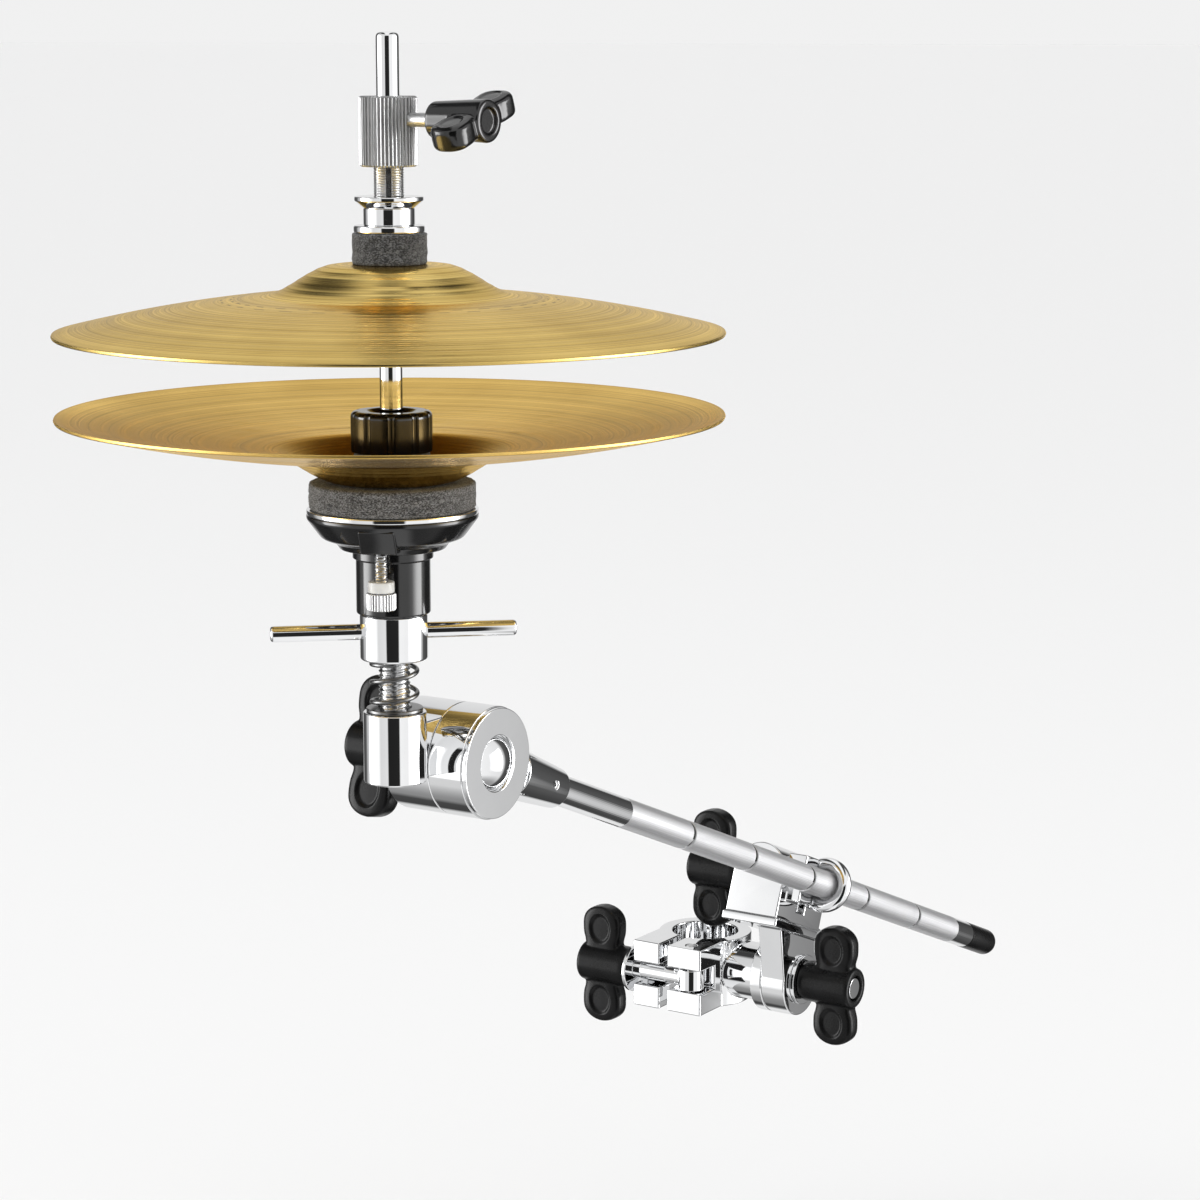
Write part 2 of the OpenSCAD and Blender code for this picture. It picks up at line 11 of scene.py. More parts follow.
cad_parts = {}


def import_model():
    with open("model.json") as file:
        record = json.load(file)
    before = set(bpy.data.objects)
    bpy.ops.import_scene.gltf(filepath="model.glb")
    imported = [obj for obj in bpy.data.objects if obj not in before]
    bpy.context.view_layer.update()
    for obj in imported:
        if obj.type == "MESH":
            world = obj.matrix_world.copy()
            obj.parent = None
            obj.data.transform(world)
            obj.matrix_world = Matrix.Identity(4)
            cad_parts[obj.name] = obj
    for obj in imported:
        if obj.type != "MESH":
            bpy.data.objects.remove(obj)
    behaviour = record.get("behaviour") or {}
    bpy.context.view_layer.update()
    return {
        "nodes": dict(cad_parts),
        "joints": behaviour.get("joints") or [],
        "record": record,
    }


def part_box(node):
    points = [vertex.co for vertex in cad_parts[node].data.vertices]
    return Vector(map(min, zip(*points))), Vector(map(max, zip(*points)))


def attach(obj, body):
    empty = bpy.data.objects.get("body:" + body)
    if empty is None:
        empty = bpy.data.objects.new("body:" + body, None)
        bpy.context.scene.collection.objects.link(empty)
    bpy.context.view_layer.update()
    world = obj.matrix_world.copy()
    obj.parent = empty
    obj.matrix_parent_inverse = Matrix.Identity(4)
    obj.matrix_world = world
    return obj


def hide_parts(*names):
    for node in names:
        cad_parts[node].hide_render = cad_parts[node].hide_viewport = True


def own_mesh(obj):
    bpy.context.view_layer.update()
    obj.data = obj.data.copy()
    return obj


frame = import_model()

MM = 0.001
SKIN_GAP = 0.02 * MM  # kept between neighbours that would otherwise share a face
nodes = frame["nodes"]
joints = {j["name"]: j for j in frame["joints"]}
body_of_node = {
    node: body
    for body, members in frame["record"]["behaviour"]["bodies"].items()
    for node in members
}


# ---------------------------------------------------------------- places taken from the frame

def low(node):
    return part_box(node)[0]


def high(node):
    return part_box(node)[1]


def middle(node):
    return (low(node) + high(node)) / 2


def aligned(origin, direction, side=(0, 0, 1)):
    """A placing matrix whose local Z runs along direction and whose local X is near side."""
    z = Vector(direction).normalized()
    x = Vector(side) - Vector(side).dot(z) * z
    x = x.normalized() if x.length > 1e-6 else z.orthogonal().normalized()
    y = z.cross(x)
    return Matrix.Translation(origin) @ Matrix((x, y, z)).transposed().to_4x4()


ROD = Vector((middle("pull_rod").x, middle("pull_rod").y, 0))
STACK = Matrix.Translation(ROD)
ARM_DIR = Vector(joints["boom_slide"]["axis"]).normalized()
EYE = Vector(joints["boom_twist"]["pos_m"])
DRUM = Vector(joints["tilter_tilt"]["pos_m"])
ARM = aligned(EYE, ARM_DIR, (0, -1, 0))


def along_arm(node):
    """(start, end) of a node measured along the arm from the eye bolt."""
    reach = [(v.co - EYE).dot(ARM_DIR) for v in nodes[node].data.vertices]
    return min(reach), max(reach)


def stack_span(node):
    """(foot, top, outer radius) of a node that is turned about the rod axis."""
    lo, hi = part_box(node)
    return lo.z, hi.z, (hi.y - lo.y) / 2


# ---------------------------------------------------------------- mesh helpers

def finish_mesh(obj, angle=35):
    """Shades a mesh smooth, apart from edges sharper than angle degrees."""
    obj.data.shade_smooth()
    obj.data.set_sharp_from_angle(angle=math.radians(angle))
    return obj


def link_mesh(name, mesh, place):
    obj = bpy.data.objects.new(name, mesh)
    bpy.context.scene.collection.objects.link(obj)
    obj.matrix_world = place
    return obj


def make_object(name, verts, faces, place=Matrix.Identity(4), angle=35):
    """An object of the given mesh, with double points merged and its faces turned outward."""
    mesh = bpy.data.meshes.new(name)
    mesh.from_pydata([tuple(v) for v in verts], [], [tuple(f) for f in faces])
    bm = bmesh.new()
    bm.from_mesh(mesh)
    bmesh.ops.remove_doubles(bm, verts=bm.verts, dist=1e-7)
    bmesh.ops.recalc_face_normals(bm, faces=bm.faces)
    bm.to_mesh(mesh)
    bm.free()
    return finish_mesh(link_mesh(name, mesh, place), angle)


def soften(points, radius, steps=4):
    """Rounds the corners of a closed outline. radius is one number or one for each corner."""
    count = len(points)
    radii = radius if isinstance(radius, (list, tuple)) else [radius] * count
    out = []
    for i, p in enumerate(points):
        p = Vector(p)
        before, after = Vector(points[i - 1]) - p, Vector(points[(i + 1) % count]) - p
        r = min(radii[i], before.length * 0.49, after.length * 0.49)
        if r < 1e-6:
            out.append(tuple(p))
            continue
        a, b = p + before.normalized() * r, p + after.normalized() * r
        for k in range(steps + 1):
            t = k / steps
            out.append(tuple(a * (1 - t) ** 2 + p * 2 * t * (1 - t) + b * t * t))
    return out


def revolve(outline, segments, shape=None):
    """Vertices and faces of a closed (radius, height) outline turned about Z.
    shape(angle, radius, height) may return a new radius array for each angle."""
    pts = np.array(outline, float)
    count = len(pts)
    verts = []
    for j in range(segments):
        a = 2 * math.pi * j / segments
        r = shape(a, pts[:, 0], pts[:, 1]) if shape else pts[:, 0]
        verts.extend(np.column_stack([r * math.cos(a), r * math.sin(a), pts[:, 1]]))
    faces = []
    for j in range(segments):
        k = (j + 1) % segments
        for i in range(count):
            n = (i + 1) % count
            if pts[i, 0] < 1e-9 and pts[n, 0] < 1e-9:
                continue
            faces.append((j * count + i, k * count + i, k * count + n, j * count + n))
    return verts, faces


def turned(name, outline, place=STACK, segments=128, shape=None, angle=35):
    """A piece turned about its local Z, as on a lathe."""
    verts, faces = revolve(outline, segments, shape)
    return make_object(name, verts, faces, place, angle)


def turned_group(name, parts, segments, place=Matrix.Identity(4)):
    """One object of several turned shapes. parts holds pairs of outline and its own place."""
    verts_all, faces_all = [], []
    for outline, own_place in parts:
        verts, faces = revolve(outline, segments)
        base = len(verts_all)
        verts_all.extend(own_place @ Vector(v) for v in verts)
        faces_all.extend(tuple(i + base for i in f) for f in faces)
    return make_object(name, verts_all, faces_all, place)


def loft_faces(rings, sides):
    """Faces of a closed loft of rings + 1 loops, each of so many sides, with capped ends."""
    faces = []
    for i in range(rings):
        for k in range(sides):
            n = (k + 1) % sides
            faces.append((i * sides + k, i * sides + n, (i + 1) * sides + n, (i + 1) * sides + k))
    faces.append(list(range(sides)))
    faces.append([rings * sides + k for k in reversed(range(sides))])
    return faces


def ring_outline(inner, outer, foot, top, radius=0.4 * MM):
    """The outline of a flat ring or a tube with softened edges."""
    return soften([(inner, foot), (outer, foot), (outer, top), (inner, top)], radius)


def bar(name, place, radius, start, end, chamfer=0.4 * MM, segments=64):
    """A round bar along its local Z."""
    outline = soften(
        [(0, start), (radius, start), (radius, end), (0, end)], [0, chamfer, chamfer, 0]
    )
    return turned(name, outline, place, segments)


def cutting_block(name, size, place):
    """A box of the given size centred on place, to cut another piece with."""
    bm = bmesh.new()
    bmesh.ops.create_cube(bm, size=1)
    bmesh.ops.scale(bm, vec=size, verts=bm.verts)
    mesh = bpy.data.meshes.new(name)
    bm.to_mesh(mesh)
    bm.free()
    return link_mesh(name, mesh, place)


def apply_modifiers(obj):
    """Bakes an object's modifiers into its own mesh."""
    bpy.context.view_layer.update()
    graph = bpy.context.evaluated_depsgraph_get()
    mesh = bpy.data.meshes.new_from_object(obj.evaluated_get(graph))
    obj.modifiers.clear()
    obj.data = mesh
    return obj


def combine(obj, others, operation):
    """Boolean of obj with each of the others, which are used up."""
    for other in others:
        m = obj.modifiers.new("bool", "BOOLEAN")
        m.operation = operation
        m.solver = "EXACT"
        m.object = other
        apply_modifiers(obj)
        bpy.data.objects.remove(other)
    return obj


def remesh(obj, voxel, smooth):
    """Rebuilds a mesh from voxels and smooths it, which blends its joins like a moulding."""
    m = obj.modifiers.new("remesh", "REMESH")
    m.mode = "VOXEL"
    m.voxel_size = voxel
    s = obj.modifiers.new("smooth", "SMOOTH")
    s.factor = 0.5
    s.iterations = smooth
    return apply_modifiers(obj)


def wear(obj, material, body=None, replaces=()):
    """Gives a piece its material and the body it rides on."""
    obj.data.materials.clear()
    for m in material if isinstance(material, (list, tuple)) else [material]:
        obj.data.materials.append(m)
    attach(obj, body or body_of_node[replaces[0]])
    if replaces:
        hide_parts(*replaces)
    return obj


# ---------------------------------------------------------------- materials

class Graph:
    """A node tree under construction. A value may be a number, a color or another node's socket."""

    def __init__(self, tree):
        self.tree = tree

    def node(self, kind, settings=(), **inputs):
        n = self.tree.nodes.new(kind)
        for key, value in dict(settings).items():
            setattr(n, key, value)
        for key, value in inputs.items():
            self.plug(n.inputs[key.replace("_", " ")], value)
        return n

    def plug(self, socket, value):
        if isinstance(value, bpy.types.NodeSocket):
            self.tree.links.new(value, socket)
        else:
            socket.default_value = value

    def math(self, operation, a, b=0.0, clamp=False):
        n = self.tree.nodes.new("ShaderNodeMath")
        n.operation = operation
        n.use_clamp = clamp
        self.plug(n.inputs[0], a)
        self.plug(n.inputs[1], b)
        return n.outputs[0]

    def times(self, a, b):
        return self.math("MULTIPLY", a, b)

    def plus(self, a, b, clamp=False):
        return self.math("ADD", a, b, clamp)

    def mix(self, factor, a, b, blend="MIX"):
        n = self.node("ShaderNodeMix", {"data_type": "RGBA", "blend_type": blend})
        for name, value in (("Factor", factor), ("A", a), ("B", b)):
            self.plug(n.inputs[name], value)
        return n.outputs["Result"]

    def ramp(self, fac, stops):
        n = self.tree.nodes.new("ShaderNodeValToRGB")
        elements = n.color_ramp.elements
        while len(elements) < len(stops):
            elements.new(0.5)
        for e, (position, color) in zip(elements, stops):
            e.position = position
            e.color = color if len(color) == 4 else (*color, 1)
        self.plug(n.inputs[0], fac)
        return n.outputs[0]

    def bands(self, fac, stops):
        """A ramp of greys. stops holds pairs of position and brightness."""
        return self.ramp(fac, [(position, grey(value)) for position, value in stops])

    def spread(self, fac, low_value, high_value):
        n = self.tree.nodes.new("ShaderNodeMapRange")
        self.plug(n.inputs["Value"], fac)
        n.inputs["To Min"].default_value = low_value
        n.inputs["To Max"].default_value = high_value
        return n.outputs[0]

    def place(self):
        return self.node("ShaderNodeTexCoord").outputs["Object"]

    def noise(self, scale, detail=3.0, vector=None, roughness=0.5):
        n = self.tree.nodes.new("ShaderNodeTexNoise")
        n.inputs["Scale"].default_value = scale
        n.inputs["Detail"].default_value = detail
        n.inputs["Roughness"].default_value = roughness
        self.plug(n.inputs["Vector"], vector or self.place())
        return n.outputs[0]

    def bump(self, height, strength, distance):
        return self.node("ShaderNodeBump", Strength=strength, Distance=distance, Height=height).outputs[0]


class MaterialGraph(Graph):
    """A principled material under construction."""

    def __init__(self, name):
        self.mat = bpy.data.materials.new(name)
        self.mat.use_nodes = True
        super().__init__(self.mat.node_tree)
        self.bsdf = self.tree.nodes["Principled BSDF"]

    def set(self, **inputs):
        for key, value in inputs.items():
            self.plug(self.bsdf.inputs[key.replace("_", " ")], value)
        return self.mat


def grey(value):
    return (value, value, value)


def chrome_material():
    g = MaterialGraph("chrome")
    haze = g.noise(90, 5)
    scratch = g.noise(1800, 2)
    return g.set(
        Base_Color=g.ramp(haze, [(0.3, (0.86, 0.865, 0.875)), (0.7, (0.90, 0.905, 0.91))]),
        Metallic=1.0,
        Roughness=g.spread(haze, 0.025, 0.05),
        Normal=g.bump(scratch, 0.01, 0.05 * MM),
    )


def satin_material(name="satin_steel", tone=0.66, rough=0.30):
    g = MaterialGraph(name)
    cloud = g.noise(400, 4)
    grain = g.noise(5200, 2)
    return g.set(
        Base_Color=g.ramp(cloud, [(0.25, (tone * 0.88,) * 3), (0.75, (tone, tone * 1.005, tone * 1.01))]),
        Metallic=1.0,
        Roughness=g.spread(cloud, rough - 0.06, rough + 0.08),
        Normal=g.bump(grain, 0.10, 0.05 * MM),
    )


def brushed_arm_material():
    """Satin tube with fine lines along its length. The tube's axis is local Z."""
    g = MaterialGraph("arm_satin")
    split = g.node("ShaderNodeSeparateXYZ", Vector=g.place())
    angle = g.math("ARCTAN2", split.outputs["Y"], split.outputs["X"])
    around, along = g.times(angle, 22.0), g.times(split.outputs["Z"], 18.0)
    unrolled = g.node("ShaderNodeCombineXYZ", X=around, Y=along, Z=0.0).outputs[0]
    lines = g.noise(1.0, 3, unrolled)
    return g.set(
        Base_Color=g.ramp(lines, [(0.30, (0.50, 0.50, 0.51)), (0.62, (0.66, 0.66, 0.67))]),
        Metallic=0.85,
        Roughness=g.spread(lines, 0.42, 0.58),
        Normal=g.bump(lines, 0.22, 0.10 * MM),
    )


def plastic_material(name, rough, grain_strength, tone=0.007, shine=0.36, ior=1.5):
    g = MaterialGraph(name)
    grain = g.noise(3200, 3)
    cloud = g.noise(140, 3)
    return g.set(
        Base_Color=g.ramp(cloud, [(0.3, (tone,) * 3), (0.7, (tone * 1.8, tone * 1.8, tone * 1.9))]),
        Roughness=g.spread(cloud, rough - 0.04, rough + 0.05),
        Normal=g.bump(grain, grain_strength, 0.12 * MM),
        Specular_IOR_Level=shine,
        IOR=ior,
    )


def nylon_material():
    g = MaterialGraph("nylon")
    cloud = g.noise(300, 3)
    return g.set(
        Base_Color=g.ramp(cloud, [(0.3, (0.80, 0.80, 0.77)), (0.7, (0.90, 0.90, 0.88))]),
        Roughness=0.42,
        Subsurface_Weight=0.15,
        Subsurface_Radius=(0.002, 0.002, 0.0015),
        Normal=g.bump(cloud, 0.1, 0.1 * MM),
    )


def felt_material(name, dark, mid, light):
    """Pressed wool: fine fibres of three greys in flat layers."""
    g = MaterialGraph(name)
    layers = g.node("ShaderNodeMapping", Vector=g.place(), Scale=(1.0, 1.0, 2.2)).outputs[0]
    bands = g.node("ShaderNodeMapping", Vector=g.place(), Scale=(0.12, 0.12, 1.0)).outputs[0]
    fibres = g.noise(1500, 6, layers, 0.72)
    clumps = g.plus(g.times(g.noise(420, 3, layers), 0.12), g.times(g.noise(620, 2, bands), 0.10))
    shade = g.plus(g.times(fibres, 0.78), clumps)
    height = g.plus(fibres, g.times(g.noise(500, 3, layers), 0.6))
    return g.set(
        Base_Color=g.ramp(shade, [(0.445, (dark,) * 3), (0.50, (mid,) * 3), (0.56, (light,) * 3)]),
        Roughness=0.97,
        Sheen_Weight=0.35,
        Sheen_Roughness=0.6,
        Specular_IOR_Level=0.15,
        Normal=g.bump(height, 0.9, 0.6 * MM),
    )


BRASS_EDGE = (0.95, 0.82, 0.57, 1)
GROOVE_SHADE = (0.16, 0.11, 0.04, 1)
DASH_HALF_WIDTH = 0.32 * MM


def brass_material(name, deep, bright, rough, dash_rows=()):
    """Lathe-turned brass: rings about local Z, with the sheen drawn out along the rings.
    dash_rows are the radii of rings of short tool marks. The grooves and tool marks are sunk into the bump,
    and their colour is darkened towards GROOVE_SHADE as painted shade."""
    g = MaterialGraph(name)
    split = g.node("ShaderNodeSeparateXYZ", Vector=g.place())
    x, y = split.outputs["X"], split.outputs["Y"]
    radius = g.math("SQRT", g.plus(g.times(x, x), g.times(y, y)))
    flat = g.node("ShaderNodeCombineXYZ", X=radius, Y=0.0, Z=0.0).outputs[0]
    rings = g.noise(1500, 2, flat)
    wide = g.noise(230, 2, flat)
    cloud = g.noise(28, 3)
    tone = g.plus(g.times(rings, 0.45), g.plus(g.times(wide, 0.35), g.times(cloud, 0.2)))
    color = g.ramp(tone, [(0.40, deep), (0.60, bright)])
    # Mask of the grooves and tool marks: it sinks them into the bump and also carries their painted shade.
    groove_marks_and_painted_dark = g.times(g.ramp(g.noise(640, 2, flat), [(0.34, grey(1)), (0.40, grey(0))]), 0.42)
    angle = g.math("ARCTAN2", y, x)
    for i, row in enumerate(dash_rows):
        off_row = g.math("ABSOLUTE", g.math("SUBTRACT", radius, row))
        near = g.math("LESS_THAN", off_row, DASH_HALF_WIDTH)
        wave = g.math("SINE", g.plus(g.times(angle, 38.0 - 5 * i), g.times(cloud, 9.0)))
        groove_marks_and_painted_dark = g.plus(groove_marks_and_painted_dark, g.times(near, g.math("GREATER_THAN", wave, 0.25)), True)
    # Painted shade: the colour is pulled towards GROOVE_SHADE in the grooves and tool marks.
    shaded = g.mix(g.times(groove_marks_and_painted_dark, 0.8), color, GROOVE_SHADE)
    tangent = g.node("ShaderNodeTangent", {"direction_type": "RADIAL", "axis": "Z"}).outputs[0]
    height = g.math("SUBTRACT", rings, g.times(groove_marks_and_painted_dark, 2.0))
    return g.set(
        Base_Color=shaded,
        Metallic=1.0,
        Specular_Tint=BRASS_EDGE,
        Roughness=g.spread(wide, rough - 0.05, rough + 0.07),
        Anisotropic=0.9,
        Tangent=tangent,
        Normal=g.bump(height, 0.3, 0.1 * MM),
    )


CHROME = chrome_material()
SATIN = satin_material()
BRIGHT_SATIN = satin_material("knurled_steel", 0.60, 0.34)
THREAD_STEEL = satin_material("thread_steel", 0.80, 0.22)
DARK_STEEL = satin_material("spring_steel", 0.20, 0.28)
ARM_SATIN = brushed_arm_material()
BLACK = plastic_material("black_plastic", 0.27, 0.20, 0.004, shine=0.17)
GLOSS = plastic_material("black_gloss", 0.12, 0.03, 0.004, shine=0.6, ior=1.55)
NUT_BLACK = plastic_material("black_nut", 0.16, 0.04, 0.005, shine=0.7, ior=1.6)
NYLON = nylon_material()
FELT_DARK = felt_material("felt_dark", 0.006, 0.034, 0.19)
FELT_GREY = felt_material("felt_grey", 0.022, 0.105, 0.34)
BRASS_TOP = brass_material("brass_top", (0.51, 0.35, 0.10), (0.97, 0.74, 0.28), 0.20,
                           dash_rows=(47.8 * MM, 50.9 * MM))
BRASS_BOTTOM = brass_material("brass_bottom", (0.57, 0.37, 0.10), (0.99, 0.70, 0.24), 0.24)


# ---------------------------------------------------------------- cymbals

CROWN_R = 16 * MM
BELL_R = 40 * MM
BELL_DROP = 9.5 * MM
CYMBAL_T = 1 * MM
CYMBAL_HOLE_R = 6.35 * MM
# Steps of the outline across the face, which carries the grooves, and across the smoother back.
FACE_STEPS, BACK_STEPS = 380, 190


def cymbal_drop(r, edge_r, height):
    """How far the cymbal's face lies below its crown at radius r."""
    if r <= CROWN_R:
        return 0.0
    if r <= BELL_R:
        return BELL_DROP * (1 - math.cos(math.pi * (r - CROWN_R) / (BELL_R - CROWN_R))) / 2
    s = (r - BELL_R) / (edge_r - BELL_R)
    return BELL_DROP + (height - CYMBAL_T - BELL_DROP) * (0.55 * s + 0.45 * s * s)


# Zones of the turned face: (inner radius, groove width, groove depth). Each holds whole grooves.
TOP_LATHE = [(16, 3.0, 0.11), (40, 1.0, 0.035), (46, 7.0, 0.0), (53, 1.85, 0.075), (90, 2.4, 0.05)]
BOTTOM_LATHE = [(16, 2.4, 0.07), (40, 1.6, 0.06), (48, 1.5, 0.075)]
TOP_RIM, BOTTOM_RIM = 4.4 * MM, 12 * MM


def lathe_groove(r, rim_r, lathe):
    """Depth of the scalloped grooves at radius r. The crown and the rim band stay smooth."""
    zones = [zone for zone in lathe if zone[0] * MM <= r]
    if not zones or r > rim_r:
        return 0.0
    inner, width, depth = zones[-1]
    turn = (r / MM - inner) / width
    strength = 0.7 + 0.3 * math.sin(2.4 * int(turn) + inner)
    return depth * MM * strength * (1 - (2 * (turn % 1.0) - 1) ** 2)


def hammer_marks(verts, lo_r, hi_r, count, crown_up):
    """Shallow round dents scattered over a ring of the face."""
    rng = random.Random(7)
    dents = []
    for _ in range(count):
        a = rng.uniform(0, 2 * math.pi)
        r = rng.uniform(lo_r, hi_r)
        size = rng.uniform(2.2, 4.2) * MM
        depth = rng.uniform(0.04, 0.11) * MM
        dents.append((r * math.cos(a), r * math.sin(a), size, depth))
    for x, y, size, depth in dents:
        gap = np.hypot(verts[:, 0] - x, verts[:, 1] - y) / size
        verts[:, 2] += np.where(gap < 1, (1 - gap ** 2) ** 2, 0) * depth * (-1 if crown_up else 1)


def cymbal(name, node, material, crown_up, lathe, rim, dents):
    """A thin turned disc with a raised bell, its grooved face on the side of the crown."""
    lo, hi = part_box(node)
    edge_r = (hi.y - lo.y) / 2
    height = hi.z - lo.z
    crown_z = hi.z if crown_up else lo.z
    sign = 1 if crown_up else -1

    def skin(steps, depth):
        width = edge_r - 0.25 * MM - CYMBAL_HOLE_R
        radii = [CYMBAL_HOLE_R + width * i / steps for i in range(steps + 1)]
        return [(r, -sign * (cymbal_drop(r, edge_r, height) + depth(r))) for r in radii]
    face = skin(FACE_STEPS, lambda r: lathe_groove(r, edge_r - rim, lathe))
    back = skin(BACK_STEPS, lambda r: CYMBAL_T - 0.5 * lathe_groove(r, edge_r - rim, lathe))
    edge_z = (face[-1][1] + back[-1][1]) / 2
    verts, faces = revolve(face + [(edge_r - 0.02 * MM, edge_z)] + back[::-1], 192)
    verts = np.array(verts)
    if dents:
        hammer_marks(verts, BELL_R + 2 * MM, edge_r - rim, dents, crown_up)
    obj = make_object(name, verts, faces, Matrix.Translation((ROD.x, ROD.y, crown_z)), 50)
    return wear(obj, material, replaces=[node])


cymbal("cymbal_top", "top_cymbal", BRASS_TOP, True, TOP_LATHE, TOP_RIM, 0)
cymbal("cymbal_bottom", "bottom_cymbal", BRASS_BOTTOM, False, BOTTOM_LATHE, BOTTOM_RIM, 260)


# ---------------------------------------------------------------- felts

FUZZ = 0.28 * MM


def felt_ring(name, node, material, bore, crown=0.8 * MM):
    """A pressed felt washer with soft corners and a fuzzy, uneven skin."""
    foot, top, outer = stack_span(node)
    inset = FUZZ * 0.8
    outline = soften(
        [(bore, foot), (outer - inset, foot), (outer - inset, top), (bore, top)],
        [0, crown, crown, 0], 5)
    dense = []
    for i, p in enumerate(outline):
        q = outline[(i + 1) % len(outline)]
        steps = max(1, int((Vector(q) - Vector(p)).length / (0.7 * MM)))
        for k in range(steps):
            dense.append(tuple(Vector(p).lerp(Vector(q), k / steps)))
    obj = turned(name, dense, segments=200, angle=80)
    for v in obj.data.vertices:
        radial = Vector((v.co.x, v.co.y, 0))
        if radial.length < bore + 0.5 * MM:
            continue
        n = noise.fractal(v.co * 620, 0.9, 2.1, 4)
        at_face = min(v.co.z - foot, top - v.co.z) < 0.05 * MM
        if at_face:
            inward = -1 if v.co.z > foot + MM else 1
            v.co.z += inward * 0.4 * FUZZ * abs(n)
        else:
            v.co += radial.normalized() * FUZZ * n
    return wear(obj, material, replaces=[node])


felt_ring("felt_clutch_upper", "clutch_felt_upper", FELT_DARK, 5.8 * MM)
felt_ring("felt_clutch_lower", "clutch_felt_lower", FELT_DARK, 5.8 * MM)
felt_ring("felt_seat_large", "seat_felt_large", FELT_GREY, 6.0 * MM, 1.2 * MM)
felt_ring("felt_seat_small", "seat_felt_small", FELT_GREY, 6.0 * MM)


# ---------------------------------------------------------------- turned parts on the rod

def ridges(count, depth, outer, band=None):
    """A radius function that cuts count straight grooves into the outer wall."""
    def shape(a, r, z):
        wave = 0.5 - 0.5 * math.cos(count * a)
        keep = r > outer - 0.75 * MM
        if band is not None:
            keep &= (z > band[0]) & (z < band[1])
        return np.where(keep, r - depth * wave, r)
    return shape


def thread(pitch, depth, outer, foot, top):
    """A radius function that winds a thread round the outer wall."""
    def shape(a, r, z):
        turn = (z / pitch - a / (2 * math.pi)) % 1.0
        wave = np.abs(turn - 0.5) * 2
        keep = (r > outer - 0.3 * MM) & (z > foot) & (z < top)
        return np.where(keep, r - depth * (1 - wave), r)
    return shape


def threaded_outline(inner, outer, foot, top, step):
    """A tube's outline whose outer wall has a point at every step, for a thread to bend."""
    count = int((top - foot) / step)
    wall = [(outer, foot + (top - foot) * i / count) for i in range(count + 1)]
    return [(inner, foot)] + wall + [(inner, top)]


def rod():
    foot, top, r = stack_span("pull_rod")
    outline = soften([(0, foot), (r, foot), (r, top), (0, top)], [0, 0.3 * MM, 2.6 * MM, 0], 8)
    wear(turned("centre_rod", outline, segments=96), CHROME, replaces=["pull_rod"])


def post():
    foot, top, r = stack_span("threaded_post")
    outline = threaded_outline(3.52 * MM, r, foot, top, 0.25 * MM)
    winding = thread(1.5 * MM, 0.75 * MM, r, foot, top)
    obj = turned("post_threaded", outline, segments=64, shape=winding, angle=60)
    wear(obj, THREAD_STEEL, replaces=["threaded_post"])


def spring():
    """A loose coil round the post, with its ends closed up."""
    lo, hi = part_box("seat_spring")
    wire = 0.75 * MM
    coil_r = (hi.x - lo.x) / 2 - wire
    turns, per_turn, sides = 2.6, 48, 12
    count = int(turns * per_turn)
    verts = []
    for i in range(count + 1):
        t = i / count
        a = 2 * math.pi * turns * t
        rise = t - 0.07 * math.sin(2 * math.pi * t)
        z = lo.z + wire + (hi.z - lo.z - 2 * wire) * rise
        for k in range(sides):
            b = 2 * math.pi * k / sides
            r = coil_r + wire * math.cos(b)
            verts.append((r * math.cos(a), r * math.sin(a), z + wire * math.sin(b)))
    obj = make_object("spring_coil", verts, loft_faces(count, sides), STACK, 60)
    wear(obj, DARK_STEEL, replaces=["seat_spring"])
    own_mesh(obj)


def t_handle():
    """The collar that turns on the post, and its two bars, which lie along one line."""
    foot, top, r = stack_span("handle_collar")
    collar = turned("t_collar", ring_outline(5.06 * MM, r, foot, top, 0.9 * MM), segments=128)
    wear(collar, CHROME, replaces=["handle_collar"])
    lo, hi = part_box("handle_bars")
    centre = (lo + hi) / 2
    bar_r, root, reach = 2.5 * MM, 6.6 * MM, 38 * MM
    corner = Vector((hi.x - centre.x, lo.y - centre.y, 0)) - Vector((1, -1, 0)) * 1.6 * MM
    outline = soften([(0, root), (bar_r, root), (bar_r, reach), (0, reach)], [0, 0.2 * MM, 1.4 * MM, 0], 6)
    ends = [aligned(centre, corner.normalized() * side) for side in (1, -1)]
    obj = turned_group("t_bars", [(outline, end) for end in ends], 48)
    wear(obj, CHROME, replaces=["handle_bars"])


def seat_nut():
    """The nut over the bottom cymbal, with ten round grooves down its side for the fingers."""
    foot, top, r = stack_span("seat_nut")
    bore, mouth = 4.95 * MM, 7.6 * MM
    counterbore = 5.85 * MM
    outline = soften([(counterbore, foot), (r, foot), (r, top), (mouth, top), (bore, top - 1.6 * MM),
                      (bore, top - 2.4 * MM), (counterbore, top - 2.4 * MM)],
                     [0, 0.6 * MM, 2.0 * MM, 0.4 * MM, 0, 0, 0], 6)
    groove_pitch, groove_half, groove_depth = math.radians(36), 1.25 * MM, 0.95 * MM
    skin = 2.6 * MM

    def flutes(a, radius, _height):
        off_groove = abs((a / groove_pitch + 0.5) % 1.0 - 0.5) * groove_pitch * r / groove_half
        near = np.clip((radius - (r - skin)) / skin, 0, 1)
        return radius - groove_depth * max(0.0, 1 - off_groove ** 2) ** 0.5 * near
    obj = turned("nut_fluted", outline, segments=480, shape=flutes, angle=40)
    wear(obj, NUT_BLACK, replaces=["seat_nut"])


# ---------------------------------------------------------------- clutch

ROD_BORE = 3.55 * MM
TUBE_BORE = 4.68 * MM
SLOT_SIDE = Matrix.Rotation(math.radians(-144), 4, "Z")


def slot_cutter(name, size, height, reach):
    """A block on the rod's axis at the given height, moved outward by reach on the slot side."""
    place = Matrix.Translation((ROD.x, ROD.y, height)) @ SLOT_SIDE @ Matrix.Translation((reach, 0, 0))
    return cutting_block(name, size, place)


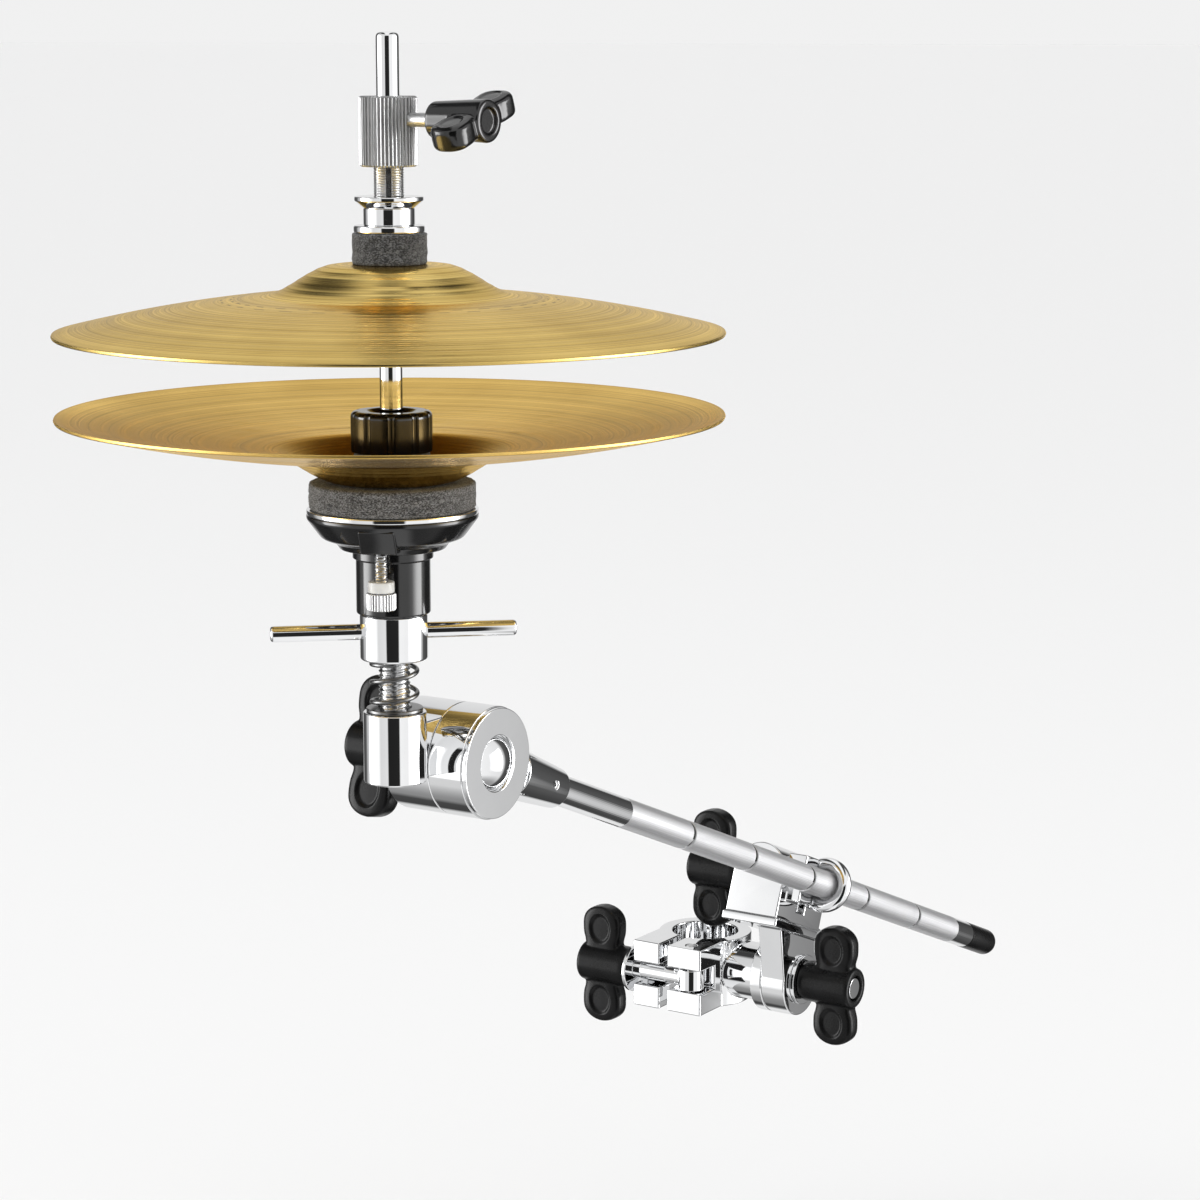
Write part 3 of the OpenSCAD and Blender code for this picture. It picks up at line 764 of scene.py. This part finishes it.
def clutch_body():
    """The knurled barrel, drilled from the side for its wing screw."""
    foot, top, r = stack_span("clutch_body")
    wall = [(r, foot + 0.5 * MM), (r, top - 0.5 * MM)]
    outline = [(ROD_BORE, foot), (4.9 * MM, foot), (r - 0.8 * MM, foot)] + wall + [
        (r - 0.8 * MM, top), (4.3 * MM, top), (ROD_BORE, top - 0.5 * MM)]
    body = turned("clutch_knurled", outline, segments=384, shape=ridges(48, 0.55 * MM, r), angle=25)
    screw_line = aligned((ROD.x, ROD.y, middle("clutch_wing_screw").z), (0, -1, 0))
    combine(body, [bar("hole", screw_line, 2.25 * MM, 3 * MM, 12 * MM)], "DIFFERENCE")
    finish_mesh(body, 25)
    wear(body, BRIGHT_SATIN, replaces=["clutch_body"])


def clutch_bottom_nut():
    foot, top, r = stack_span("clutch_bottom_nut")
    outline = soften([(4.7 * MM, foot), (r, foot), (r, top), (4.7 * MM, top)],
                     [0, 1.8 * MM, 0.4 * MM, 0], 5)
    nut = turned("clutch_nut_lower", outline, segments=384, shape=ridges(48, 0.35 * MM, r), angle=30)
    wear(nut, BRIGHT_SATIN, replaces=["clutch_bottom_nut"])


def clutch_tube():
    """The threaded tube, with a keyway where it shows between the body and the nuts."""
    foot, top, r = stack_span("clutch_tube")
    seen_to = low("clutch_body").z
    outline = threaded_outline(ROD_BORE, r, foot, top, 0.125 * MM)
    winding = thread(0.75 * MM, 0.30 * MM, r, foot, seen_to)
    tube = turned("clutch_tube_threaded", outline, segments=64, shape=winding, angle=60)
    keyway_z = (high("clutch_flange_nut").z + seen_to) / 2
    keyway = slot_cutter("groove", (4 * MM, 1.7 * MM, 20 * MM), keyway_z, 5.6 * MM)
    combine(tube, [keyway], "DIFFERENCE")
    finish_mesh(tube, 50)
    wear(tube, THREAD_STEEL, replaces=["clutch_tube"])


def clutch_nuts():
    """The flange nut and, under it, the spool-shaped lock nut with its key slot and washer."""
    foot, top, r = stack_span("clutch_flange_nut")
    outline = soften([(TUBE_BORE, foot), (7.8 * MM, foot), (r, top - 1.3 * MM), (r, top), (TUBE_BORE, top)],
                     [0, 0.2 * MM, 0.3 * MM, 0.4 * MM, 0])
    wear(turned("clutch_flange", outline), CHROME, replaces=["clutch_flange_nut"])

    foot, top, r = stack_span("clutch_lock_nut")
    spool = turned("clutch_spool", ring_outline(TUBE_BORE, r, foot + SKIN_GAP, top - SKIN_GAP, 0.3 * MM))
    key = slot_cutter("key", (5 * MM, 1.9 * MM, 1.9 * MM), foot + 2.4 * MM, 7.8 * MM)
    combine(spool, [key], "DIFFERENCE")
    finish_mesh(spool)
    wear(spool, CHROME, replaces=["clutch_lock_nut"])

    foot, top, r = stack_span("clutch_washer")
    washer = turned("clutch_plate", ring_outline(TUBE_BORE, r, foot, top, 0.7 * MM))
    wear(washer, CHROME, replaces=["clutch_washer"])


# ---------------------------------------------------------------- seat

CUP_FOOT = 53.05  # mm above the foot of the tilter's boss


def cup_height(above):
    """World height of a point on the seat cup that lies above mm over the foot of the boss."""
    return low("seat_cup").z + (above - CUP_FOOT) * MM


def at_tilt_screw():
    screw = middle("tilt_screw")
    return Matrix.Translation((screw.x, screw.y, 0))


def cup_rib():
    """The sloped rib that the tilt screw runs in, facing out from the cup at the screw."""
    out = at_tilt_screw().translation - ROD
    facing = STACK @ Matrix.Rotation(math.atan2(out.y, out.x), 4, "Z")
    section = [(10, 74.2), (21.2, 74.2), (25.6, 81.8), (24, 81.6), (22, 80.5), (14, 78.4), (10, 78.4)]
    half_width = 5.7 * MM
    verts = [(x * MM, cup_height(h), side * half_width) for side in (-1, 1) for x, h in section]
    count = len(section)
    faces = [tuple(range(count)), tuple(range(2 * count - 1, count - 1, -1))]
    faces += [(i, i + count, (i + 1) % count + count, (i + 1) % count) for i in range(count)]
    rib = make_object("rib", verts, faces, facing @ Matrix.Rotation(math.pi / 2, 4, "X"))
    bevel = rib.modifiers.new("bevel", "BEVEL")
    bevel.width = 0.7 * MM
    bevel.segments = 5
    return apply_modifiers(rib)


def seat_cup():
    """The moulded black cup under the seat, with a rib bored for the tilt screw."""
    foot, top, rim = stack_span("seat_cup")
    z = cup_height
    body_r, bore = 11.45 * MM, 5.3 * MM
    outline = soften([
        (bore, foot), (body_r, foot), (body_r, z(70)), (12.4 * MM, z(70.3)), (12.4 * MM, z(73.2)),
        (16.2 * MM, z(73.25)), (17.6 * MM, z(75.3)), (21.8 * MM, z(76.8)), (22.8 * MM, z(78)),
        (rim, z(82.8)), (rim, top), (24.7 * MM, top), (24.6 * MM, z(83)),
        (21 * MM, z(80.4)), (14 * MM, z(78.6)), (bore, z(78.6))],
        [0, 0.8 * MM, 0.2 * MM, 0.3 * MM, 0.6 * MM, 0.4 * MM, 0.8 * MM, 0.9 * MM, 0.8 * MM,
         0.5 * MM, 0.4 * MM, 0.1 * MM, 0.2 * MM, 0, 0, 0], 4)
    cup = turned("seat_cup_moulded", outline, segments=160)
    combine(cup, [cup_rib()], "UNION")
    combine(cup, [bar("bore", at_tilt_screw(), 2.1 * MM, z(70), z(90))], "DIFFERENCE")
    finish_mesh(cup, 30)
    wear(cup, GLOSS, replaces=["seat_cup"])


def tilt_screw():
    """The knurled screw that tips the seat plate, turned in one piece, and its nylon ring."""
    lo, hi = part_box("tilt_screw")
    knob_r, knob_h, shaft_r = (hi.x - lo.x) / 2, 5.3 * MM, 2 * MM
    shoulder, thread_end, steps = lo.z + knob_h, hi.z - 1.4 * MM, 90
    wall = [(shaft_r, shoulder + (thread_end - shoulder) * i / steps) for i in range(steps + 1)]
    knob = soften([(0, lo.z), (knob_r, lo.z), (knob_r, shoulder), (shaft_r, shoulder)],
                  [0, 0.7 * MM, 0.5 * MM, 0])
    outline = knob[:-1] + wall + [(0.5 * MM, hi.z), (0, hi.z)]
    knurl = ridges(30, 0.28 * MM, knob_r, (lo.z + 0.3 * MM, shoulder - 0.2 * MM))
    winding = thread(0.8 * MM, 0.35 * MM, shaft_r, shoulder, hi.z)

    def knob_and_thread(a, radius, height):
        on_knob = radius > shaft_r + 0.1 * MM
        return np.where(on_knob, knurl(a, radius, height), winding(a, radius, height))
    obj = turned("tilt_screw_knurled", outline, at_tilt_screw(), 240, knob_and_thread, angle=40)
    wear(obj, BRIGHT_SATIN, replaces=["tilt_screw"])
    lo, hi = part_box("tilt_collar")
    ring = ring_outline(2.05 * MM, (hi.x - lo.x) / 2, lo.z, hi.z, 0.4 * MM)
    wear(turned("tilt_nylon", ring, at_tilt_screw(), 64), NYLON, replaces=["tilt_collar"])


def seat_plate():
    foot, top, r = stack_span("seat_plate")
    plate = turned("seat_disc", ring_outline(5.83 * MM, r, foot + SKIN_GAP, top, 0.5 * MM), segments=160)
    wear(plate, CHROME, replaces=["seat_plate"])


def sleeves():
    """The flanged nylon sleeve in the seat and the plain one inside the clutch's felts."""
    foot, top, r = stack_span("seat_sleeve")
    bore, wall_r, flange_top = 4.8 * MM, 5.8 * MM, foot + 1.6 * MM
    outline = soften([(bore, foot), (r, foot), (r, flange_top), (wall_r, flange_top),
                      (wall_r, top), (bore, top)], [0, 0.3 * MM, 0, 0, 0.3 * MM, 0])
    wear(turned("seat_tube_nylon", outline), NYLON, replaces=["seat_sleeve"])
    foot, top, r = stack_span("clutch_sleeve")
    outline = ring_outline(TUBE_BORE, r, foot + SKIN_GAP, top, 0.3 * MM)
    wear(turned("clutch_tube_nylon", outline), NYLON, replaces=["clutch_sleeve"])


def spring_washer():
    foot, top, r = stack_span("spring_washer")
    outline = ring_outline(5.2 * MM, r, foot, top, 0.4 * MM)
    wear(turned("spring_plate", outline), DARK_STEEL, replaces=["spring_washer"])


rod()
post()
spring()
t_handle()
seat_nut()
clutch_body()
clutch_bottom_nut()
clutch_tube()
clutch_nuts()
seat_cup()
tilt_screw()
seat_plate()
sleeves()
spring_washer()


# ---------------------------------------------------------------- wing nuts

def lobe_section(t, width, thick):
    """Half width and half thickness of a wing at share t of its length, from hub to tip."""
    waist = 1.0 - 0.13 * math.exp(-((t - 0.36) / 0.12) ** 2)
    tip = max(0.0, 1 - max(0.0, (t - 0.68) / 0.32) ** 2.4) ** 0.5
    return width / 2 * waist * tip, thick / 2 * (0.62 + 0.38 * tip)


def wing_blade(name, span, width, thick, mid, place):
    """Both lobes of a wing as one loft along local Y. The hub's axis is local Z."""
    rings, sides = 48, 32
    verts = []
    for i in range(rings + 1):
        s = -1 + 2 * i / rings
        s = math.copysign(1 - (1 - abs(s)) ** 1.35, s)
        half_w, half_t = lobe_section(abs(s), width, thick)
        half_w = max(half_w, 0.05 * MM)
        half_t = max(half_t, 0.05 * MM)
        for k in range(sides):
            b = 2 * math.pi * k / sides
            c, d = math.cos(b), math.sin(b)
            x = half_t * math.copysign(abs(c) ** 0.42, c)
            z = mid + half_w * math.copysign(abs(d) ** 0.55, d)
            verts.append((x, s * span / 2, z))
    return make_object(name, verts, loft_faces(rings, sides), place)


def press_dishes(hub, span, width, thick, mid, dish):
    """Sinks an oval dish into both faces of each lobe."""
    to_lobe = span / 2 * 0.62
    half_len, half_wid = span / 2 * 0.26, width / 2 * 0.56
    for v in hub.data.vertices:
        u = (abs(v.co.y) - to_lobe) / half_len
        w = (v.co.z - mid) / half_wid
        d = u * u + w * w
        if d < 1 and abs(v.co.x) > thick * 0.25:
            v.co.x -= math.copysign(dish * min(1.0, 2.6 * (1 - d)), v.co.x)


def wing_nut(name, node, out, span_dir, span, width, thick, hub_r, material,
             bore=None, mid=None, dish=0.9 * MM):
    """A moulded wing nut: a hub along out with two lobes along span_dir. One without a bore has
    a blind end, and the others show the end of their bolt in a pocket."""
    closed = bore is None
    lo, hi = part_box(node)
    out = Vector(out).normalized()
    reach = [v.co.dot(out) for v in nodes[node].data.vertices]
    start = min(reach)
    hub_h = max(reach) - start
    centre = (lo + hi) / 2
    place = aligned(centre + out * (start - centre.dot(out)), out, Vector(span_dir).cross(out))
    mid = mid or hub_h - width / 2 - 0.2 * MM
    pocket = hub_r * 0.60
    floor_z = hub_h - (1.2 if closed else 3) * MM
    if closed:
        outline = soften([(0, 0), (hub_r * 0.86, 0), (hub_r, hub_h), (pocket, hub_h),
                          (pocket * 0.9, floor_z), (0, floor_z)],
                         [0, MM, 1.2 * MM, 0.5 * MM, 0.6 * MM, 0], 4)
    else:
        outline = soften([(bore, 0), (hub_r * 0.94, 0), (hub_r, 2 * MM), (hub_r, hub_h), (pocket, hub_h),
                          (pocket, floor_z), (bore, floor_z)],
                         [0, 0.8 * MM, MM, 1.3 * MM, 0.5 * MM, 0, 0], 4)
    hub = turned(name, outline, place, 72)
    if not closed:
        combine(hub, [bar("fill", place, bore * 1.2, 0.4 * MM, floor_z - 0.2 * MM)], "UNION")
    combine(hub, [wing_blade("blade", span, width, thick, mid, place)], "UNION")
    combine(hub, [bar("pocket", place, pocket, floor_z, hub_h + 5 * MM)], "DIFFERENCE")
    remesh(hub, 0.34 * MM, 4)
    press_dishes(hub, span, width, thick, mid, dish)
    if not closed:
        combine(hub, [bar("bore", place, bore, -2 * MM, hub_h + 5 * MM, 0)], "DIFFERENCE")
    finish_mesh(hub, 55)
    wear(hub, material, replaces=[node])


def leaning(degrees):
    """Straight up, leaned towards +X."""
    return Matrix.Rotation(math.radians(degrees), 3, "Y") @ Vector((0, 0, 1))


BIG_WING = dict(span=46 * MM, width=17 * MM, thick=8 * MM, hub_r=7.75 * MM, material=BLACK)
CLUTCH_WING = dict(span=34 * MM, width=12 * MM, thick=8 * MM, hub_r=6.5 * MM, material=GLOSS)
wing_nut("wing_jaw", "jaw_wing_nut", (0, 1, 0), leaning(0), bore=3.56 * MM, **BIG_WING)
wing_nut("wing_eye", "eye_wing_nut", (0, 1, 0), leaning(0), bore=3.56 * MM, **BIG_WING)
wing_nut("wing_ratchet", "ratchet_wing_nut", (0, -1, 0), leaning(0), bore=4.06 * MM, **BIG_WING)
wing_nut("wing_tilter", "tilter_wing_nut", (0, 1, 0), leaning(12), bore=4.06 * MM, **BIG_WING)
wing_nut("wing_clutch", "clutch_wing_head", (0, -1, 0), leaning(70), mid=14.2 * MM,
         dish=0.5 * MM, **CLUTCH_WING)


# ---------------------------------------------------------------- boom arm

# Places along the arm, all of them measured from the eye bolt.
DRUM_AT = (DRUM - EYE).dot(ARM_DIR)
SATIN_FROM, SATIN_TO = DRUM_AT + 90 * MM, DRUM_AT + 357 * MM
GROOVES = [DRUM_AT + (133 + 46.5 * i) * MM for i in range(5)]
GROOVE_WIDTH = 2 * MM
ARM_R = (high("boom_arm").y - low("boom_arm").y) / 2


def arm_tube():
    """The tube: chrome at both ends, satin and finely ribbed between, with a groove at each mark."""
    start, end = along_arm("boom_arm")
    cap_from, _ = along_arm("arm_end_cap")
    r, edge, slope = ARM_R, 0.4 * MM, 0.25 * MM
    groove_r, stub_r = r - 0.5 * MM, r - 1.2 * MM
    outline = [(0, start), (r - edge, start), (r, start + edge), (r, SATIN_FROM)]
    for near in GROOVES:
        far = near + GROOVE_WIDTH
        outline += [(r, near), (groove_r, near + slope), (groove_r, far - slope), (r, far)]
    outline += [(r, SATIN_TO), (r, cap_from - edge), (r - edge, cap_from), (stub_r, cap_from),
                (stub_r, end), (0, end)]
    rib_count, rib_depth, margin = 60, 0.07 * MM, 0.05 * MM

    def ribs(a, radius, z):
        keep = (radius > r - 0.1 * MM) & (z > SATIN_FROM + margin) & (z < SATIN_TO - margin)
        return np.where(keep, radius - rib_depth * (0.5 - 0.5 * math.cos(rib_count * a)), radius)
    obj = turned("arm_tube", outline, ARM, 240, ribs, angle=40)
    wear(obj, [CHROME, ARM_SATIN], replaces=["boom_arm"])
    for p in obj.data.polygons:
        p.material_index = 1 if SATIN_FROM < p.center.z < SATIN_TO else 0


def arm_groove_rings_painted_dark():
    """The rings that line the grooves: black on the faces that look up, which is a painted dark reflection,
    and bare chrome on the faces that look down.
    """
    inner, outer, inset = ARM_R - 0.7 * MM, ARM_R - 0.3 * MM, 0.2 * MM
    rings = [ring_outline(inner, outer, g + inset, g + GROOVE_WIDTH - inset, 0.1 * MM) for g in GROOVES]
    groove_marks_and_painted_dark = turned_group("arm_groove_rings", [(ring, Matrix.Identity(4)) for ring in rings], 96, ARM)
    wear(groove_marks_and_painted_dark, [CHROME, BLACK], body="boom")
    # Painted dark reflection: faces that look up get black, and faces that look down stay chrome.
    for p in groove_marks_and_painted_dark.data.polygons:
        p.material_index = 1 if (groove_marks_and_painted_dark.matrix_world.to_3x3() @ p.normal).z > -0.25 else 0


def arm_tip():
    """The black cap over the end of the tube. Its mesh is in world coordinates."""
    _, end = along_arm("boom_arm")
    cap_from, cap_to = along_arm("arm_end_cap")
    nose_r, r, bore = ARM_R - 1.1 * MM, ARM_R + 0.1 * MM, 4.05 * MM
    mouth, floor_at = cap_from + 0.1 * MM, end + 0.05 * MM
    outline = soften([(0, cap_to), (nose_r, cap_to), (r, cap_to - 2 * MM), (r, mouth),
                      (bore, mouth), (bore, floor_at), (0, floor_at)],
                     [0, MM, MM, 0.3 * MM, 0, 0, 0])
    tip = turned("arm_tip", outline, ARM, 96)
    tip.data.transform(tip.matrix_world)
    tip.matrix_world = Matrix.Identity(4)
    wear(tip, BLACK, replaces=["arm_end_cap"])


def roll_pin():
    lo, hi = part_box("arm_roll_pin")
    outline = ring_outline(0.6 * MM, 1.25 * MM, lo.y - hi.y, 0, 0.2 * MM)
    place = aligned(((lo.x + hi.x) / 2, hi.y, (lo.z + hi.z) / 2), (0, 1, 0))
    wear(turned("arm_pin_rolled", outline, place, 48), SATIN, replaces=["arm_roll_pin"])


arm_tube()
arm_groove_rings_painted_dark()
arm_tip()
roll_pin()


# ---------------------------------------------------------------- castings and small steel parts

def rounded_cad(node, material, width, segments=3, angle=40):
    """Keeps a CAD node and rounds its edges with modifiers."""
    obj = nodes[node]
    obj.data.materials.clear()
    obj.data.materials.append(material)
    weld = obj.modifiers.new("weld", "WELD")
    weld.merge_threshold = 1e-6
    flat = obj.modifiers.new("flat", "DECIMATE")
    flat.decimate_type = "DISSOLVE"
    flat.angle_limit = math.radians(1)
    bevel = obj.modifiers.new("bevel", "BEVEL")
    bevel.width = width
    bevel.segments = segments
    bevel.limit_method = "ANGLE"
    bevel.angle_limit = math.radians(angle)
    bevel.use_clamp_overlap = False
    weighted = obj.modifiers.new("weighted", "WEIGHTED_NORMAL")
    weighted.keep_sharp = False
    return obj


for casting in ("fixed_jaw", "swing_jaw", "arm_holder", "tilter_post_half"):
    rounded_cad(casting, CHROME, 0.6 * MM)
rounded_cad("tilter_arm_half", CHROME, 0.3 * MM)
for small in ("jaw_washer", "ratchet_washer", "tilter_washer", "eye_washer", "swing_bolt", "ratchet_bolt",
              "tilter_cap", "tilter_bolt", "jaw_hinge_pin", "eye_bolt"):
    rounded_cad(small, CHROME, 0.3 * MM)
for steel in ("swing_bolt_pin", "clutch_wing_screw"):
    rounded_cad(steel, SATIN, 0.2 * MM)


# ---------------------------------------------------------------- studio

VIEW_AZIMUTH, VIEW_ELEVATION = math.radians(-57), math.radians(10)
TO_CAMERA = Vector((math.sin(VIEW_AZIMUTH) * math.cos(VIEW_ELEVATION),
                    -math.cos(VIEW_AZIMUTH) * math.cos(VIEW_ELEVATION), math.sin(VIEW_ELEVATION)))
RIGHT = Vector((math.cos(VIEW_AZIMUTH), math.sin(VIEW_AZIMUTH), 0))
CAMERA_DISTANCE = 1.05
SENSOR_WIDTH = 36
FRAME_FILL = 0.86
FLOOR_DROP = 0.11
FLOOR_SIZE = 400
ROOM_LIGHT = 1.02
LAMP_POWER = 7.0


def camera():
    """Frames the rest pose and returns the point that the camera looks at."""
    up = TO_CAMERA.cross(RIGHT)
    corners = [v.co for n in nodes.values() for v in n.data.vertices]
    across = [c.dot(RIGHT) for c in corners]
    upward = [c.dot(up) for c in corners]
    depth = sum(c.dot(TO_CAMERA) for c in corners) / len(corners)
    target = (RIGHT * (min(across) + max(across)) / 2 + up * (min(upward) + max(upward)) / 2
              + TO_CAMERA * depth)
    data = bpy.data.cameras.new("camera")
    data.sensor_width = SENSOR_WIDTH
    extent = max(max(across) - min(across), max(upward) - min(upward))
    data.lens = SENSOR_WIDTH * CAMERA_DISTANCE / extent * FRAME_FILL
    obj = bpy.data.objects.new("camera", data)
    bpy.context.scene.collection.objects.link(obj)
    facing = Matrix((RIGHT, up, TO_CAMERA)).transposed().to_4x4()
    obj.matrix_world = Matrix.Translation(target + TO_CAMERA * CAMERA_DISTANCE) @ facing
    bpy.context.scene.camera = obj
    return target


def floor(target, height):
    bpy.ops.mesh.primitive_plane_add(size=FLOOR_SIZE, location=(target.x, target.y, height))
    plane = bpy.context.object
    plane.name = "floor"
    g = MaterialGraph("floor")
    paper = g.set(Base_Color=(*grey(0.86), 1), Roughness=0.7, Specular_IOR_Level=0.1)
    plane.data.materials.append(paper)
    plane.visible_glossy = False


def area_light(name, target, offset, size, power):
    """A soft light that polished metal doesn't mirror: its reflections come from the world alone."""
    data = bpy.data.lights.new(name, "AREA")
    data.shape = "RECTANGLE"
    data.size, data.size_y = size
    data.energy = power
    obj = bpy.data.objects.new(name, data)
    bpy.context.scene.collection.objects.link(obj)
    obj.visible_glossy = False
    direction = -offset.normalized()
    facing = direction.to_track_quat("-Z", "Y").to_matrix().to_4x4()
    obj.matrix_world = Matrix.Translation(target + offset) @ facing


# Brightness of the walls, of the flags before them and of the lamps round the room: pairs of
# the share of a turn, which is 0.5 towards the camera, and the grey.
WALLS = [(0.00, 0.80), (0.05, 0.72), (0.075, 0.06), (0.145, 0.10), (0.185, 0.62), (0.44, 0.84),
         (0.56, 1.0), (0.80, 0.86), (0.835, 0.10), (0.925, 0.05), (0.95, 0.72), (1.00, 0.80)]
FLAGS = [(0.0, 1), (0.434, 1), (0.442, 0.02), (0.552, 0.02), (0.560, 1)]
LAMPS = [(0.21, 0), (0.225, 1), (0.27, 1), (0.32, 0.1), (0.36, 0),
         (0.64, 0), (0.68, 0.1), (0.73, 1), (0.775, 1), (0.79, 0)]

# The same against height, from 0 straight below to 1 straight above.
FLAG_HEIGHT = [(0.0, 0), (0.22, 0), (0.25, 1), (0.72, 1), (0.75, 0)]
LAMP_HEIGHT = [(0.28, 0), (0.36, 1), (0.66, 1), (0.72, 0)]
ABOVE_AND_BELOW = [(0.0, 0.8), (0.10, 0.6), (0.2, 0), (0.88, 0), (0.91, 1)]

# The strip over the object, from its middle to the left and right.
STRIP = [(0.0, 1), (0.20, 1), (0.30, 0.05)]


def world():
    """A pale room. Reflections see softboxes to the left and right and black flags between them."""
    studio = bpy.data.worlds.new("studio")
    bpy.context.scene.world = studio
    studio.use_nodes = True
    studio.node_tree.nodes.clear()
    g = Graph(studio.node_tree)
    direction = g.node("ShaderNodeTexCoord").outputs["Generated"]

    def dot(vector):
        n = g.node("ShaderNodeVectorMath", {"operation": "DOT_PRODUCT"})
        g.plug(n.inputs[0], direction)
        n.inputs[1].default_value = vector
        return n.outputs["Value"]
    turn = g.math("ARCTAN2", dot(RIGHT), dot(Vector((TO_CAMERA.x, TO_CAMERA.y, 0)).normalized()))
    share = g.plus(g.math("DIVIDE", turn, 2 * math.pi), 0.5)
    level = g.plus(g.times(dot((0, 0, 1)), 0.5), 0.5)
    walls = g.mix(g.bands(level, FLAG_HEIGHT), g.bands(share, WALLS), g.bands(share, FLAGS), "MULTIPLY")
    strip = g.bands(g.math("ABSOLUTE", dot(RIGHT)), STRIP)
    unlit = g.mix(g.bands(level, ABOVE_AND_BELOW), walls, strip)
    path = g.node("ShaderNodeLightPath")
    direct = g.math("LESS_THAN", path.outputs["Diffuse Depth"], 0.5)
    lamps = g.times(g.bands(share, LAMPS), g.bands(level, LAMP_HEIGHT))
    reflected = g.mix(1.0, unlit, g.times(lamps, g.times(direct, LAMP_POWER)), "ADD")
    lit, backdrop = (*grey(ROOM_LIGHT), 1), (*grey(0.86 * ROOM_LIGHT), 1)
    room = g.mix(path.outputs["Is Camera Ray"], lit, backdrop)
    seen = g.mix(path.outputs["Is Glossy Ray"], room, reflected)
    back = g.node("ShaderNodeBackground", Color=seen, Strength=1.0)
    g.node("ShaderNodeOutputWorld", Surface=back.outputs[0])


lowest = min(low(n).z for n in nodes)
aim = camera()
floor(aim, lowest - FLOOR_DROP)
area_light("key", aim, TO_CAMERA * 0.9 - RIGHT * 1.3 + Vector((0, 0, 1.5)), (1.2, 1.2), 7)
area_light("fill", aim, TO_CAMERA * 0.8 + RIGHT * 1.6 + Vector((0, 0, 0.7)), (0.8, 1.6), 4)
world()
bpy.context.scene.view_settings.view_transform = "Standard"
